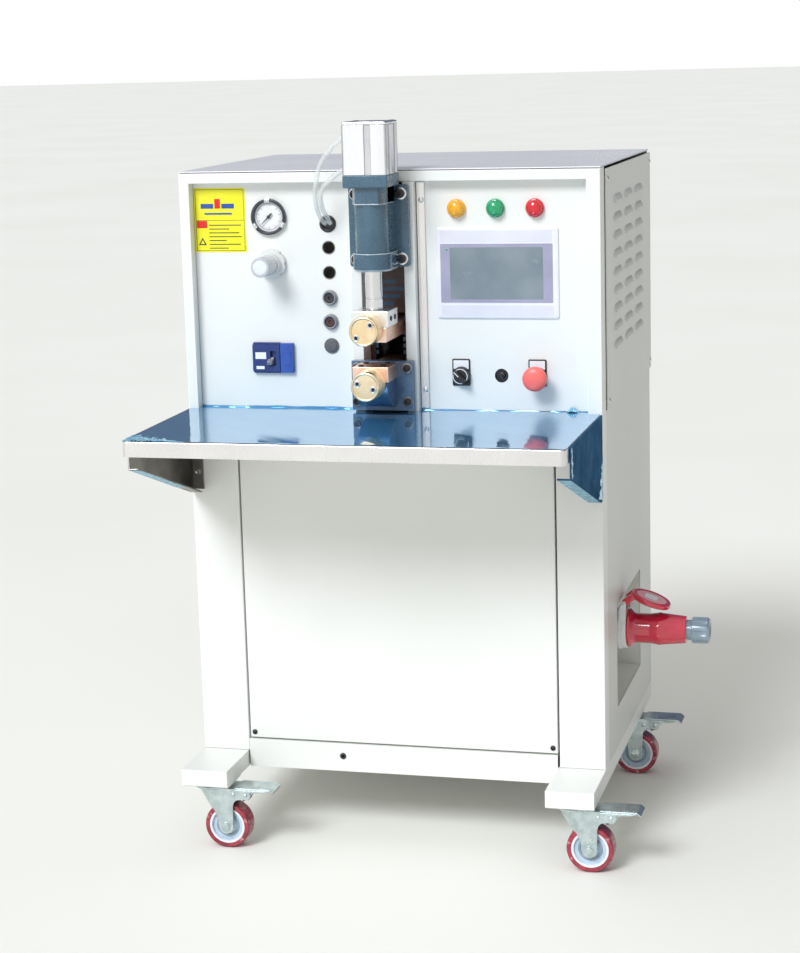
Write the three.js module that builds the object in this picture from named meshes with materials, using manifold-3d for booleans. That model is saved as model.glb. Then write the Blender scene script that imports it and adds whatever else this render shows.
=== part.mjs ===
// Pedestal pneumatic spot welder: a sheet-metal cabinet on four braked castors, with a worktable,
// an air-driven weld head, an instrument panel, a control panel and a mains inlet on its right side.
// Millimetres, +Z up, the front faces -Y. Inside this file X = 0 is the middle of the cabinet,
// Y = 0 is the face of its front frame and Z = 0 is the floor; the last section moves the whole
// machine so that the origin is under the middle of its bounding box.

import * as THREE from "three";
import { mergeVertices } from "three/addons/utils/BufferGeometryUtils.js";
import Module from "manifold-3d";

const wasm = await Module();
wasm.setup();

// ---- driving dimensions ---------------------------------------------------------------------

const GAP = 0.3; // left between pieces that touch
const SHEET = 2; // thickness of the folded sheets

const CABINET = { half: 350, depth: 521, top: 1131, postDepth: 38 };
const RAIL = { width: 80, height: 28, front: -117, wall: 3 };
const CASTOR = { height: 115, plate: 3, plateHalf: 34, frontY: -77, rearY: 419, inset: 40, trail: 28 };
const WHEEL = { radius: 39, width: 32, sides: 20, bore: 5.6 };
const DOOR = { left: -265, right: 270, bottom: 167, top: 697, depth: 14, clearance: 3 };
const TABLE = { top: 738, front: -312, lip: 24.5, half: 347.2, cornerRadius: 8 };
const RECESS = { left: -332.4, right: 327, top: 1111, panelY: 20 };
const HEAD = { x: -7.5, y: -51, bottom: 974, top: 1107, plateHalf: 49.5 };
const HOUSING = { back: -8, plateThick: 12, plateBottom: 976, body: 27, collar: 31.5, rim: 29, boss: 1080 };
const HEAD_RAILS = { left: [-60, -42], right: [29.5, 48], depth: 44 };
const CYLINDER = { half: 36.5, bottom: 1127, top: 1210, bore: 31.5, boreTop: 1200 };
const RAM = { rodRadius: 14, bottom: 912.3, pistonBottom: 1178, pistonTop: 1195, pistonRadius: 31.1 };
const ELECTRODE = { radius: 24, x: -11.5, front: -108, upperZ: 883, lowerZ: 794.4 };
const UPPER_HOLDER = { x: [-38.5, 22], y: [-80, -20], z: [886, 912] };
const UPPER_ARM = { x: [-34, 18], y: [-79, 40], z: [862, 885.7] };
const CONDUCTOR = { left: -28, right: 12 }; // sides of the strap, the lower bar and the terminals
const LOUVRES = { rows: 9, bottom: 836, pitch: 29.7, columns: [149, 262, 375], length: 88, halfHeight: 6 };
const LOUVRE_COVER = { skin: 2.7, reach: 5, belowTop: 6 };
const INLET = { y: 180, z: 339, front: 128, back: 392, bottom: 212, top: 391, depth: 50 };
const HOLE_COLUMN = { x: -102, heights: [1043, 1004, 963, 922, 882.5, 842.7], radius: 10.5, topRadius: 12.5 };
const TUBE_BLOCK = { radius: 15, back: 52 };
const GAUGE = { x: -202, z: 1055, radius: 29.5, hole: 28, case: 26.5 };
const REGULATOR = { x: -200, z: 978, hole: 16 };
const BREAKER = { left: -237, right: -167, bottom: 797, top: 848, pivotY: 14.5, leverTilt: 25 };
const SCREEN = { x: 179, z: 962.5, width: 200, height: 146.5 };
const LAMPS = { z: 1066, yellow: 114, green: 178, red: 242 };
const SWITCHES = { z: 796, selector: 117, blank: 182.7, stop: 243.5, hole: 11.2 };
const TUBE_RADIUS = 4;
const ORIGIN = { x: 71, y: 104.5 }; // middle of the bounding box, seen from above

const TABLE_UNDER = TABLE.top - TABLE.lip;
const RAIL_TOP = CASTOR.height + RAIL.height;
const PANEL_TOP = RECESS.top - GAP;
const SURFACE = RECESS.panelY - GAP; // back of whatever sits on the front of the panels
const HEAD_GAP = [HEAD_RAILS.left[1], HEAD_RAILS.right[0]];

// ---- shape helpers --------------------------------------------------------------------------

function box([x0, y0, z0], [x1, y1, z1]) {
  const geometry = new THREE.BoxGeometry(x1 - x0, y1 - y0, z1 - z0);
  return solid(geometry.translate((x0 + x1) / 2, (y0 + y1) / 2, (z0 + z1) / 2));
}

// A box given by its two limits along each axis.
function block({ x, y, z }) {
  return box([x[0], y[0], z[0]], [x[1], y[1], z[1]]);
}

// A closed mesh as a manifold solid: merged corners, no empty triangles, faces outward.
function solid(geometry) {
  const bare = new THREE.BufferGeometry();
  bare.setAttribute("position", geometry.getAttribute("position"));
  if (geometry.index) bare.setIndex(geometry.index);
  const merged = mergeVertices(bare, 1e-4);
  const points = merged.getAttribute("position");
  const corner = (i) => new THREE.Vector3().fromBufferAttribute(points, i);
  const triangles = [];
  let volume = 0;
  for (let i = 0; i < merged.index.count; i += 3) {
    const [a, b, c] = [0, 1, 2].map((k) => merged.index.getX(i + k));
    if (a === b || b === c || c === a) continue;
    triangles.push([a, b, c]);
    volume += corner(a).dot(corner(b).cross(corner(c)));
  }
  if (volume < 0) triangles.forEach((triangle) => triangle.reverse());
  const vertProperties = new Float32Array(points.array);
  const triVerts = new Uint32Array(triangles.flat());
  return new wasm.Manifold(new wasm.Mesh({ numProp: 3, vertProperties, triVerts }));
}

function join(...pieces) {
  return pieces.reduce((whole, piece) => whole.add(piece));
}

function cut(body, ...tools) {
  return tools.reduce((rest, tool) => rest.subtract(tool), body);
}

function polygon(points) {
  return new THREE.Shape(points.map(([u, v]) => new THREE.Vector2(u, v)));
}

function rectangle(u0, u1, v0, v1) {
  return polygon([[u0, v0], [u1, v0], [u1, v1], [u0, v1]]);
}

function extruded(shape, depth) {
  return new THREE.ExtrudeGeometry(shape, { depth, bevelEnabled: false, curveSegments: 4 });
}

// An outline in X and Y, from z0 up to z1.
function prismZ(shape, z0, z1) {
  return solid(extruded(shape, z1 - z0).translate(0, 0, z0));
}

// An outline in X and Z, from y0 back to y1.
function prismY(shape, y0, y1) {
  return solid(extruded(shape, y1 - y0).rotateX(Math.PI / 2).translate(0, y1, 0));
}

// An outline in Y and Z, from x0 to x1.
function prismX(shape, x0, x1) {
  const axes = [new THREE.Vector3(0, 1, 0), new THREE.Vector3(0, 0, 1), new THREE.Vector3(1, 0, 0)];
  const turn = new THREE.Matrix4().makeBasis(...axes);
  return solid(extruded(shape, x1 - x0).applyMatrix4(turn).translate(x0, 0, 0));
}

// A profile of [radius, distance along the axis], turned around the Y axis.
function turned(profile, sides = 16) {
  const points = profile.map(([radius, along]) => new THREE.Vector2(radius, along));
  return new THREE.LatheGeometry(points, sides, Math.PI / sides);
}

function turnedY(profile, x, z, sides) {
  return solid(turned(profile, sides).translate(x, 0, z));
}

function turnedZ(profile, x, y, sides) {
  return solid(turned(profile, sides).rotateX(Math.PI / 2).translate(x, y, 0));
}

function turnedX(profile, y, z, sides) {
  return solid(turned(profile, sides).rotateZ(-Math.PI / 2).translate(0, y, z));
}

function cylinderProfile(radius, from, to) {
  return [[0, from], [radius, from], [radius, to], [0, to]];
}

function pinY(radius, x, z, y0, y1, sides) {
  return turnedY(cylinderProfile(radius, y0, y1), x, z, sides);
}

function pinZ(radius, x, y, z0, z1, sides) {
  return turnedZ(cylinderProfile(radius, z0, z1), x, y, sides);
}

function pinX(radius, y, z, x0, x1, sides) {
  return turnedX(cylinderProfile(radius, x0, x1), y, z, sides);
}

// ---- materials ------------------------------------------------------------------------------

function material(color, roughness, metalness = 0) {
  return new THREE.MeshStandardMaterial({ color, roughness, metalness });
}

const MATERIALS = {
  paint: material(0xf0f1ec, 0.45),
  stainless: material(0xb9b4b2, 0.3, 1),
  film: material(0x3c6ea0, 0.25),
  casting: material(0x3c5569, 0.5),
  aluminium: material(0xd8dade, 0.35, 1),
  chrome: material(0xe6e8ea, 0.1, 1),
  brass: material(0xe6c378, 0.3, 1),
  copper: material(0xeb966e, 0.35, 1),
  board: material(0x3a1f24, 0.6),
  black: material(0x1c1c20, 0.45),
  steel: material(0x8c9096, 0.4, 1),
  zinc: material(0xb4c8c8, 0.35, 1),
  tread: material(0xb4283c, 0.4),
  red: material(0xc81e3c, 0.35),
  grey: material(0xd8dcd8, 0.45),
  blue: material(0x324ba0, 0.4),
  tube: material(0xdfe6e8, 0.2),
  yellow: material(0xfabe14, 0.25),
  green: material(0x00aa64, 0.25),
};

// ---- the machine ----------------------------------------------------------------------------

const machine = new THREE.Group();

function place(name, body, finish, parent = machine) {
  const { vertProperties, triVerts } = body.getMesh();
  const geometry = new THREE.BufferGeometry();
  geometry.setAttribute("position", new THREE.BufferAttribute(vertProperties, 3));
  geometry.setIndex(new THREE.BufferAttribute(triVerts, 1));
  geometry.computeVertexNormals();
  const mesh = new THREE.Mesh(geometry, finish);
  mesh.name = name;
  parent.add(mesh);
  return mesh;
}

// ---- base -----------------------------------------------------------------------------------

const CASTOR_ROWS = { front: CASTOR.frontY, rear: CASTOR.rearY };
const SWIVEL_X = CABINET.half - CASTOR.inset;

// A channel, open below, with the two castor top plates welded under it.
function footRail(side) {
  const [inner, outer] = [CABINET.half - RAIL.width, CABINET.half];
  const span = (a, b) => [Math.min(side * a, side * b), Math.max(side * a, side * b)];
  const [x0, x1] = span(inner, outer);
  const wall = RAIL.wall;
  const back = CABINET.depth;
  const channel = cut(
    box([x0, RAIL.front, CASTOR.height], [x1, back, RAIL_TOP]),
    box([x0 + wall, RAIL.front + wall, CASTOR.height - wall], [x1 - wall, back - wall, RAIL_TOP - wall]),
  );
  const plates = Object.values(CASTOR_ROWS).map((y) =>
    box(
      [x0 + 1, y - CASTOR.plateHalf, CASTOR.height - CASTOR.plate],
      [x1 - 1, y + CASTOR.plateHalf, CASTOR.height + 0.5],
    ));
  return join(channel, ...plates);
}

const BASE_PAN = { front: 1, back: CABINET.depth - 6, foldBack: 15 };
const SILL_HOLE = { x: -101, z: 142, radius: 4 };

// The cabinet's floor with the sill folded up in front and an upstand at the back.
function basePan() {
  const left = DOOR.left - DOOR.clearance + GAP;
  const right = CABINET.half - RAIL.width - GAP;
  const bottom = CASTOR.height;
  const sillTop = DOOR.bottom - DOOR.clearance;
  const { front, back, foldBack } = BASE_PAN;
  const floor = box([left, front, bottom], [right, back, bottom + SHEET]);
  const sill = box([left, 0, bottom], [right, SHEET, sillTop]);
  const sillFold = box([left, 0, sillTop - SHEET], [right, foldBack, sillTop]);
  const upstand = box([left, back - SHEET, bottom], [right, back, sillTop]);
  const hole = pinY(SILL_HOLE.radius, SILL_HOLE.x, SILL_HOLE.z, -1, SHEET + 1, 12);
  return cut(join(floor, sill, sillFold, upstand), hole);
}

// ---- cabinet --------------------------------------------------------------------------------

const FRAME_TOP = CABINET.top - 3;
const CROSSBAR = { bottom: 700, top: TABLE.top - SHEET - GAP };

// Two posts, a top bar and the cross bar behind the table, folded from one sheet.
function frontFrame() {
  const half = CABINET.half;
  const doorLeft = DOOR.left - DOOR.clearance;
  const doorRight = DOOR.right + DOOR.clearance;
  const bottom = RAIL_TOP + GAP;
  const face = polygon([
    [-half, bottom], [doorLeft, bottom], [doorLeft, CROSSBAR.bottom], [doorRight, CROSSBAR.bottom],
    [doorRight, bottom], [half, bottom], [half, FRAME_TOP], [-half, FRAME_TOP],
  ]);
  const opening = (wall) =>
    rectangle(RECESS.left - wall, RECESS.right + wall, CROSSBAR.top - wall, RECESS.top + wall);
  face.holes.push(opening(0));
  const reveal = opening(SHEET);
  reveal.holes.push(opening(0));
  const sides = [-half, half - SHEET].map((x) =>
    box([x, 0, bottom], [x + SHEET, CABINET.postDepth, FRAME_TOP]));
  const doorReturns = [doorLeft - SHEET, doorRight].map((x) =>
    box([x, 0, bottom], [x + SHEET, RECESS.panelY, CROSSBAR.bottom + SHEET]));
  return join(prismY(face, 0, SHEET), prismY(reveal, 0, SURFACE), ...sides, ...doorReturns);
}

// The side sheet under the table's height; the right one has the opening of the mains inlet.
function lowerSide(side) {
  const outer = side * CABINET.half;
  const inner = side * (CABINET.half - SHEET);
  const shape = rectangle(CABINET.postDepth + GAP, CABINET.depth, RAIL_TOP + GAP, TABLE.top - GAP);
  if (side > 0) shape.holes.push(rectangle(INLET.front, INLET.back, INLET.bottom, INLET.top));
  return prismX(shape, Math.min(inner, outer), Math.max(inner, outer));
}

// A cover that stands proud of the side, with rows of pressed louvres that open downward.
function louvrePanel(side) {
  const { skin, reach, belowTop } = LOUVRE_COVER;
  const { rows, bottom, pitch, columns, length, halfHeight } = LOUVRES;
  const x0 = CABINET.half + GAP;
  const plate = box(
    [x0, CABINET.postDepth + 2, TABLE.top],
    [x0 + skin, CABINET.depth, CABINET.top - belowTop],
  );
  const section = polygon([[-1, -halfHeight], [reach, -halfHeight], [reach - 1, -1], [-1, halfHeight]]);
  const hood = prismY(section, -length / 2, length / 2);
  const hoods = [];
  for (const y of columns) {
    for (let row = 0; row < rows; row += 1) {
      hoods.push(hood.translate([x0 + skin, y, bottom + row * pitch]));
    }
  }
  const right = join(plate, ...hoods);
  return side > 0 ? right : right.mirror([1, 0, 0]);
}

function rearPanel() {
  const half = CABINET.half - SHEET - GAP;
  const y1 = CABINET.depth - GAP;
  return box([-half, y1 - SHEET, RAIL_TOP + GAP], [half, y1, FRAME_TOP - GAP]);
}

function topCover() {
  const front = 4;
  return box([-CABINET.half, front, FRAME_TOP + GAP], [CABINET.half, CABINET.depth, CABINET.top]);
}

// A shallow pan that closes the opening under the table.
function lowerFrontPanel() {
  const outer = box([DOOR.left, 0, DOOR.bottom], [DOOR.right, DOOR.depth, DOOR.top]);
  const inner = box(
    [DOOR.left + SHEET, SHEET, DOOR.bottom + SHEET],
    [DOOR.right - SHEET, DOOR.depth + 1, DOOR.top - SHEET],
  );
  return cut(outer, inner);
}

// ---- panels of the recess -------------------------------------------------------------------

const PANEL_Y = [RECESS.panelY, RECESS.panelY + SHEET];

function panelSheet(x0, x1) {
  return box([x0, PANEL_Y[0], TABLE.top + GAP], [x1, PANEL_Y[1], PANEL_TOP]);
}

function panelHole(radius, x, z) {
  return pinY(radius, x, z, PANEL_Y[0] - 1, PANEL_Y[1] + 1, 14);
}

// The left panel, with the block behind its top hole that the air tubes end in.
function instrumentPanel() {
  const { x, heights, radius, topRadius } = HOLE_COLUMN;
  const holes = heights.map((z, i) => panelHole(i === 0 ? topRadius : radius, x, z));
  const rim = 3;
  const breakerHole = box(
    [BREAKER.left + rim, PANEL_Y[0] - 1, BREAKER.bottom + rim],
    [BREAKER.right - rim, PANEL_Y[1] + 1, BREAKER.top - rim],
  );
  const sheet = cut(
    panelSheet(RECESS.left + GAP, HEAD_RAILS.left[0] - 2),
    ...holes,
    breakerHole,
    panelHole(GAUGE.hole, GAUGE.x, GAUGE.z),
    panelHole(REGULATOR.hole, REGULATOR.x, REGULATOR.z),
  );
  const tubeBlock = pinY(TUBE_BLOCK.radius, x, heights[0], PANEL_Y[0] + 1, TUBE_BLOCK.back);
  return join(sheet, tubeBlock);
}

function controlPanel() {
  const switchHoles = [SWITCHES.selector, SWITCHES.blank, SWITCHES.stop].map((x) =>
    panelHole(SWITCHES.hole, x, SWITCHES.z));
  const lampHoles = [LAMPS.yellow, LAMPS.green, LAMPS.red].map((x) =>
    panelHole(SWITCHES.hole, x, LAMPS.z));
  const rim = 4;
  const halfWidth = SCREEN.width / 2 - rim;
  const halfHeight = SCREEN.height / 2 - rim;
  const window = box(
    [SCREEN.x - halfWidth, PANEL_Y[0] - 1, SCREEN.z - halfHeight],
    [SCREEN.x + halfWidth, PANEL_Y[1] + 1, SCREEN.z + halfHeight],
  );
  const sheet = panelSheet(HEAD_RAILS.right[1] + 2, RECESS.right - GAP);
  return cut(sheet, ...switchHoles, ...lampHoles, window);
}

// ---- worktable ------------------------------------------------------------------------------

function tableOutline(half, front, back, radius) {
  const shape = new THREE.Shape();
  shape.moveTo(-half, back);
  shape.lineTo(-half, front + radius);
  shape.absarc(-half + radius, front + radius, radius, Math.PI, 1.5 * Math.PI);
  shape.absarc(half - radius, front + radius, radius, 1.5 * Math.PI, 2 * Math.PI);
  shape.lineTo(half, back);
  return shape;
}

// A tray folded down in front and at both sides; a tongue runs back into the recess.
function worktable() {
  const { half, front, cornerRadius, top } = TABLE;
  const outside = tableOutline(half, front, -GAP, cornerRadius);
  const inside = tableOutline(half - SHEET, front + SHEET, 1, cornerRadius - SHEET);
  const tray = cut(prismZ(outside, TABLE_UNDER, top), prismZ(inside, TABLE_UNDER - 1, top - SHEET));
  const slack = 2 * GAP;
  const tongue = box(
    [RECESS.left + slack, -1, top - SHEET],
    [RECESS.right - slack, RECESS.panelY - slack, top],
  );
  return join(tray, tongue);
}

const BRACKET = { front: -281, noseZ: 687, toeY: -14, toeZ: 597, rise: 4, flange: 22, thick: 2.5 };

// A gusset beside the table: a side plate, a flange along its slope and a flange on the cabinet.
function bracket(side) {
  const { front, noseZ, toeY, toeZ, rise, flange, thick } = BRACKET;
  const outer = CABINET.half;
  const top = TABLE.top - 0.5;
  const plate = polygon([[front, top], [front, noseZ], [toeY, toeZ], [-GAP, toeZ + rise], [-GAP, top]]);
  const slope = polygon([[front, noseZ], [toeY, toeZ], [toeY, toeZ + thick], [front, noseZ + thick]]);
  const right = join(
    prismX(plate, outer - thick, outer),
    prismX(slope, outer - flange, outer),
    box([outer - flange, -GAP - thick, toeZ + rise], [outer, -GAP, TABLE_UNDER - GAP]),
  );
  return side > 0 ? right : right.mirror([1, 0, 0]);
}

// ---- weld head ------------------------------------------------------------------------------

function headRail([x0, x1]) {
  return box([x0, 0, TABLE.top + GAP], [x1, HEAD_RAILS.depth, PANEL_TOP]);
}

const BOARD = { front: HEAD_RAILS.depth + GAP, thick: 4, inset: 4, rim: 8, windowBottom: 796, windowTop: 895 };

// The printed board behind the rails, with the window that the copper passes through.
function insulationBoard() {
  const { front, thick, inset, windowBottom, windowTop, rim } = BOARD;
  const sheet = box(
    [HEAD_RAILS.left[0], front, TABLE.top + inset],
    [HEAD_RAILS.right[1], front + thick, PANEL_TOP - inset],
  );
  const window = box(
    [HEAD_GAP[0] + rim, front - 1, windowBottom],
    [HEAD_GAP[1] - rim, front + thick + 1, windowTop],
  );
  return cut(sheet, window);
}

// A half-round front on a block that reaches back to the flange plate, in X and Y.
function archOutline(radius, back) {
  const shape = new THREE.Shape();
  shape.moveTo(HEAD.x + radius, back);
  shape.lineTo(HEAD.x + radius, HEAD.y);
  shape.absarc(HEAD.x, HEAD.y, radius, 2 * Math.PI, Math.PI, true);
  shape.lineTo(HEAD.x - radius, back);
  return shape;
}

// The same block with a flat front and two chamfers, in X and Y.
function bossOutline(half, back) {
  const { x, y } = HEAD;
  const [front, shoulder, flat] = [y - 29, y - 14, 19];
  return polygon([
    [x - half, back], [x - half, shoulder], [x - flat, front],
    [x + flat, front], [x + half, shoulder], [x + half, back],
  ]);
}

// The casting that carries the cylinder: flange plate, round body, boss, collar and square top.
function headHousing() {
  const { x, y, bottom, top, plateHalf } = HEAD;
  const { back, plateThick, plateBottom } = HOUSING;
  const plate = box([x - plateHalf, -GAP - plateThick, plateBottom], [x + plateHalf, -GAP, top]);
  const body = prismZ(archOutline(HOUSING.body, back), bottom + 8, top + 1);
  const collar = prismZ(archOutline(HOUSING.collar, back), bottom + 2, bottom + 29);
  const rim = prismZ(archOutline(HOUSING.rim, back), bottom, bottom + 3);
  const boss = prismZ(bossOutline(HOUSING.body, back), HOUSING.boss, top + 1);
  const topFlange = box(
    [x - CYLINDER.half, y - CYLINDER.half - 0.5, top],
    [x + CYLINDER.half, y + CYLINDER.half + 0.5, CYLINDER.bottom - GAP],
  );
  const bore = pinZ(RAM.rodRadius + 2 * GAP, x, y, bottom - 1, CYLINDER.bottom + 1, 24);
  return cut(join(plate, body, collar, rim, boss, topFlange), bore);
}

const GROOVE = { depth: 2.5, front: [-11, 0], sides: [[-25, -9], [9, 25]] };

// An extruded square tube, closed on top, with grooves down its faces and two tube fittings.
function cylinderBarrel() {
  const { half, bottom, top, bore, boreTop } = CYLINDER;
  const tall = ([x0, x1], [y0, y1]) =>
    box([HEAD.x + x0, HEAD.y + y0, bottom - 1], [HEAD.x + x1, HEAD.y + y1, top + 1]);
  const body = box([HEAD.x - half, HEAD.y - half, bottom], [HEAD.x + half, HEAD.y + half, top]);
  const faces = [[-half - 1, GROOVE.depth - half], [half - GROOVE.depth, half + 1]];
  const grooves = faces.flatMap((face) => [
    tall(GROOVE.front, face),
    ...GROOVE.sides.map((side) => tall(face, side)),
  ]);
  const barrel = cut(body, ...grooves, pinZ(bore, HEAD.x, HEAD.y, bottom - 1, boreTop, 24));
  return join(barrel, ...Object.values(TUBE_PORTS).map(tubeFitting));
}

const TUBE_PORTS = { upper: { z: 1195.2, tilt: 38 }, lower: { z: 1142.7, tilt: 32 } };
const PORT = { x: HEAD.x - CYLINDER.half + 2.5, y: HEAD.y + 18, length: 18, radius: 6.5 };

// A push-in fitting that leaves the left face of the barrel, tilted down.
function tubeFitting({ z, tilt }) {
  const pin = turned(cylinderProfile(PORT.radius, 0, PORT.length), 12);
  pin.rotateZ(Math.PI / 2 + (tilt * Math.PI) / 180);
  return solid(pin.translate(PORT.x, PORT.y, z));
}

// The chrome rod with the piston on top of it.
function ramRod() {
  const { rodRadius, bottom, pistonBottom, pistonTop, pistonRadius } = RAM;
  return turnedZ([
    [0, bottom], [rodRadius, bottom], [rodRadius, pistonBottom], [pistonRadius, pistonBottom],
    [pistonRadius, pistonTop], [0, pistonTop],
  ], HEAD.x, HEAD.y, 24);
}

// A disc with a chamfered front edge, bolted to the face at the given depth.
function electrodeDisc(face, z) {
  const { radius, x, front } = ELECTRODE;
  const back = face - GAP;
  const profile = [[0, front], [radius - 1, front], [radius, front + 1.5], [radius, back], [0, back]];
  return turnedY(profile, x, z, 24);
}

const SHUNT = { y0: UPPER_ARM.y[1] + GAP, y1: 110 - GAP, z: 874, thick: 7, rise: 14 };

// The laminated copper strap between the moving arm and the transformer, arched to give slack.
function flexibleShunt() {
  const steps = 10;
  const arch = (t) => SHUNT.z + SHUNT.rise * Math.sin(Math.PI * t) ** 2;
  const along = (t) => SHUNT.y0 + t * (SHUNT.y1 - SHUNT.y0);
  const upper = [];
  const lower = [];
  for (let i = 0; i <= steps; i += 1) {
    const t = i / steps;
    upper.push([along(t), arch(t) + SHUNT.thick / 2]);
    lower.unshift([along(t), arch(t) - SHUNT.thick / 2]);
  }
  return prismX(polygon([...upper, ...lower]), CONDUCTOR.left, CONDUCTOR.right);
}

const LOWER_FLANGE = { x: [-59.5, 42.5], y: [-15, -GAP], z: [742, 823] };
const LOWER_BLOCK = { x: [-42.5, 17], y: [-70, LOWER_FLANGE.y[0] - GAP], z: [796.3, 821] };
const LOWER_BAR = { x: [CONDUCTOR.left, CONDUCTOR.right], y: [-16, 100 - GAP], z: [798, 818] };
const CORBEL = { left: -39, right: 14, foot: 748, back: -14, tip: LOWER_BLOCK.y[0] + 2 };

// The casting under the lower electrode: a flange plate with a curved corbel.
function lowerBracket() {
  const { left, right, foot, back, tip } = CORBEL;
  const top = LOWER_BLOCK.z[0] - GAP;
  const corbel = new THREE.Shape();
  corbel.moveTo(back, foot);
  corbel.lineTo(back, top);
  corbel.lineTo(tip, top);
  corbel.quadraticCurveTo(tip + 2, foot + 6, back, foot);
  const notch = block({ x: [LOWER_BAR.x[0] - 2, LOWER_BAR.x[1] + 2], y: [-20, 1], z: LOWER_BLOCK.z });
  return cut(join(block(LOWER_FLANGE), prismX(corbel, left, right)), notch);
}

// The copper block on the corbel, with the bar that runs back to the transformer.
function lowerCopperBlock() {
  return join(block(LOWER_BLOCK), block(LOWER_BAR));
}

const TRANSFORMER = {
  core: { x: [-68, 56], y: [130, 290], z: [745, 905] },
  tray: { x: [-346, 346], y: [115, 310], z: [742, 746] },
  upperTerminal: { x: LOWER_BAR.x, y: [110, 131], z: [862, 884] },
  lowerTerminal: { x: LOWER_BAR.x, y: [100, 131], z: LOWER_BAR.z },
};

// Core and windings, the tray that carries them between the side walls, and the two terminals.
function weldingTransformer() {
  return join(...Object.values(TRANSFORMER).map(block));
}

// ---- air tubes ------------------------------------------------------------------------------

const TUBE_ROUTES = {
  upper: [
    [-64, -33, 1177.6], [-73.8, -33, 1170], [-82.4, -34, 1160], [-91.2, -36, 1147.7],
    [-97.1, -38.5, 1133.5], [-100.6, -40, 1118.4], [-103.9, -38, 1103.2], [-106.4, -30, 1085.2],
    [-107.2, -17, 1066.8], [-106.6, 0, 1052], [-106.2, 12, 1046.1], [-106.9, 19.9, 1043.9],
  ],
  lower: [
    [-64, -33, 1128.7], [-71.3, -33, 1124.2], [-82.6, -33, 1114.3], [-92, -33, 1104.2],
    [-97.5, -30.5, 1091.7], [-99, -22.5, 1078.4], [-99.3, -11, 1065.7], [-97.6, 4, 1053.7],
    [-97.2, 13, 1046], [-97.6, 19.6, 1044.3],
  ],
};

// Where a tube leaves its fitting.
function tubeStart({ z, tilt }) {
  const angle = (tilt * Math.PI) / 180;
  const reach = PORT.length + GAP;
  return [PORT.x - reach * Math.cos(angle), PORT.y, z - reach * Math.sin(angle)];
}

// A tube of eight sides along its route.
function airTube(name) {
  const route = [tubeStart(TUBE_PORTS[name]), ...TUBE_ROUTES[name]];
  const curve = new THREE.CatmullRomCurve3(route.map((point) => new THREE.Vector3(...point)));
  const section = polygon(Array.from({ length: 8 }, (_, i) => {
    const angle = (i * Math.PI) / 4;
    return [TUBE_RADIUS * Math.cos(angle), TUBE_RADIUS * Math.sin(angle)];
  }));
  return solid(new THREE.ExtrudeGeometry(section, { steps: 18, extrudePath: curve }));
}

// ---- instruments ----------------------------------------------------------------------------

// A cup behind a flat ring; the dial is the floor of the cup.
function gaugeCase() {
  const { x, z, radius, case: body } = GAUGE;
  const [front, back, dial, dialRadius] = [12, 50, 19, 24.5];
  return turnedY([
    [0, back], [body, back], [body, SURFACE], [radius, SURFACE], [radius, front], [dialRadius, front],
    [dialRadius, dial], [0, dial],
  ], x, z, 24);
}

// A needle that points to the start of the scale, low on the left.
function gaugeNeedle() {
  const blade = polygon([[-20, 0], [-2, -1.2], [7, -1.5], [7, 1.5], [-2, 1.2]]);
  const hub = pinY(2.8, 0, 0, 14, 16.5, 12);
  const needle = join(prismY(blade, 14.5, 15.7), hub);
  return needle.rotate([0, -45, 0]).translate([GAUGE.x, 0, GAUGE.z]);
}

// The valve body behind the panel, the ring nut in front of it, the bonnet and the spindle.
function regulatorBody() {
  const [body, neck, nut, bonnet, spindle] = [20, 15, 25, 18, 8];
  const [nutFront, bonnetFront, spindleFront] = [11, -3, -20];
  const inside = PANEL_Y[1] + GAP;
  return turnedY([
    [0, 70], [body, 70], [body, inside], [neck, inside], [neck, SURFACE], [nut, SURFACE], [nut, nutFront],
    [bonnet, nutFront], [bonnet, bonnetFront], [spindle, bonnetFront], [spindle, spindleFront],
    [0, spindleFront],
  ], REGULATOR.x, REGULATOR.z);
}

// A cap over the spindle, open at the back.
function regulatorKnob() {
  const [front, back, floor, bore] = [-45, -5, -21, 8.5];
  return turnedY([
    [0, front], [15.5, front], [16.5, front + 2], [17, back], [bore, back], [bore, floor], [0, floor],
  ], REGULATOR.x, REGULATOR.z);
}

const LEVER = { x: -206, z: 819.5, slot: { x: [-212.5, -199.5], y: [9, 18], z: [806, 833] } };

// The front with the lever's slot, and the body behind the panel.
function breakerCase() {
  const { left, right, bottom, top } = BREAKER;
  const inset = 4;
  const front = box([left, 10, bottom], [right, SURFACE, top]);
  const rear = box([left + inset, 19, bottom + inset], [right - inset, 75, top - inset]);
  return cut(join(front, rear), block(LEVER.slot));
}

function breakerToggle() {
  const lever = box([-5, -12.5, -3.2], [5, 2, 3.2]);
  return lever.rotate([BREAKER.leverTilt, 0, 0]).translate([LEVER.x, BREAKER.pivotY, LEVER.z]);
}

const SWITCH_BODY = 10.8; // radius behind the panel of everything that fits a 22 mm hole

// Body, collar and domed lens.
function lamp(x) {
  const [collar, back] = [15, 45];
  return turnedY([
    [0, back], [SWITCH_BODY, back], [SWITCH_BODY, SURFACE], [collar, SURFACE], [collar, 15],
    [13, 14], [12.5, 8], [8, 5], [0, 4],
  ], x, LAMPS.z);
}

function touchScreen() {
  const { x, z, width, height } = SCREEN;
  const panel = (inset, y0, y1) => box(
    [x - width / 2 + inset, y0, z - height / 2 + inset],
    [x + width / 2 - inset, y1, z + height / 2 - inset],
  );
  return join(panel(0, 14.5, SURFACE), panel(4.5, 19, 55));
}

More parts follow.
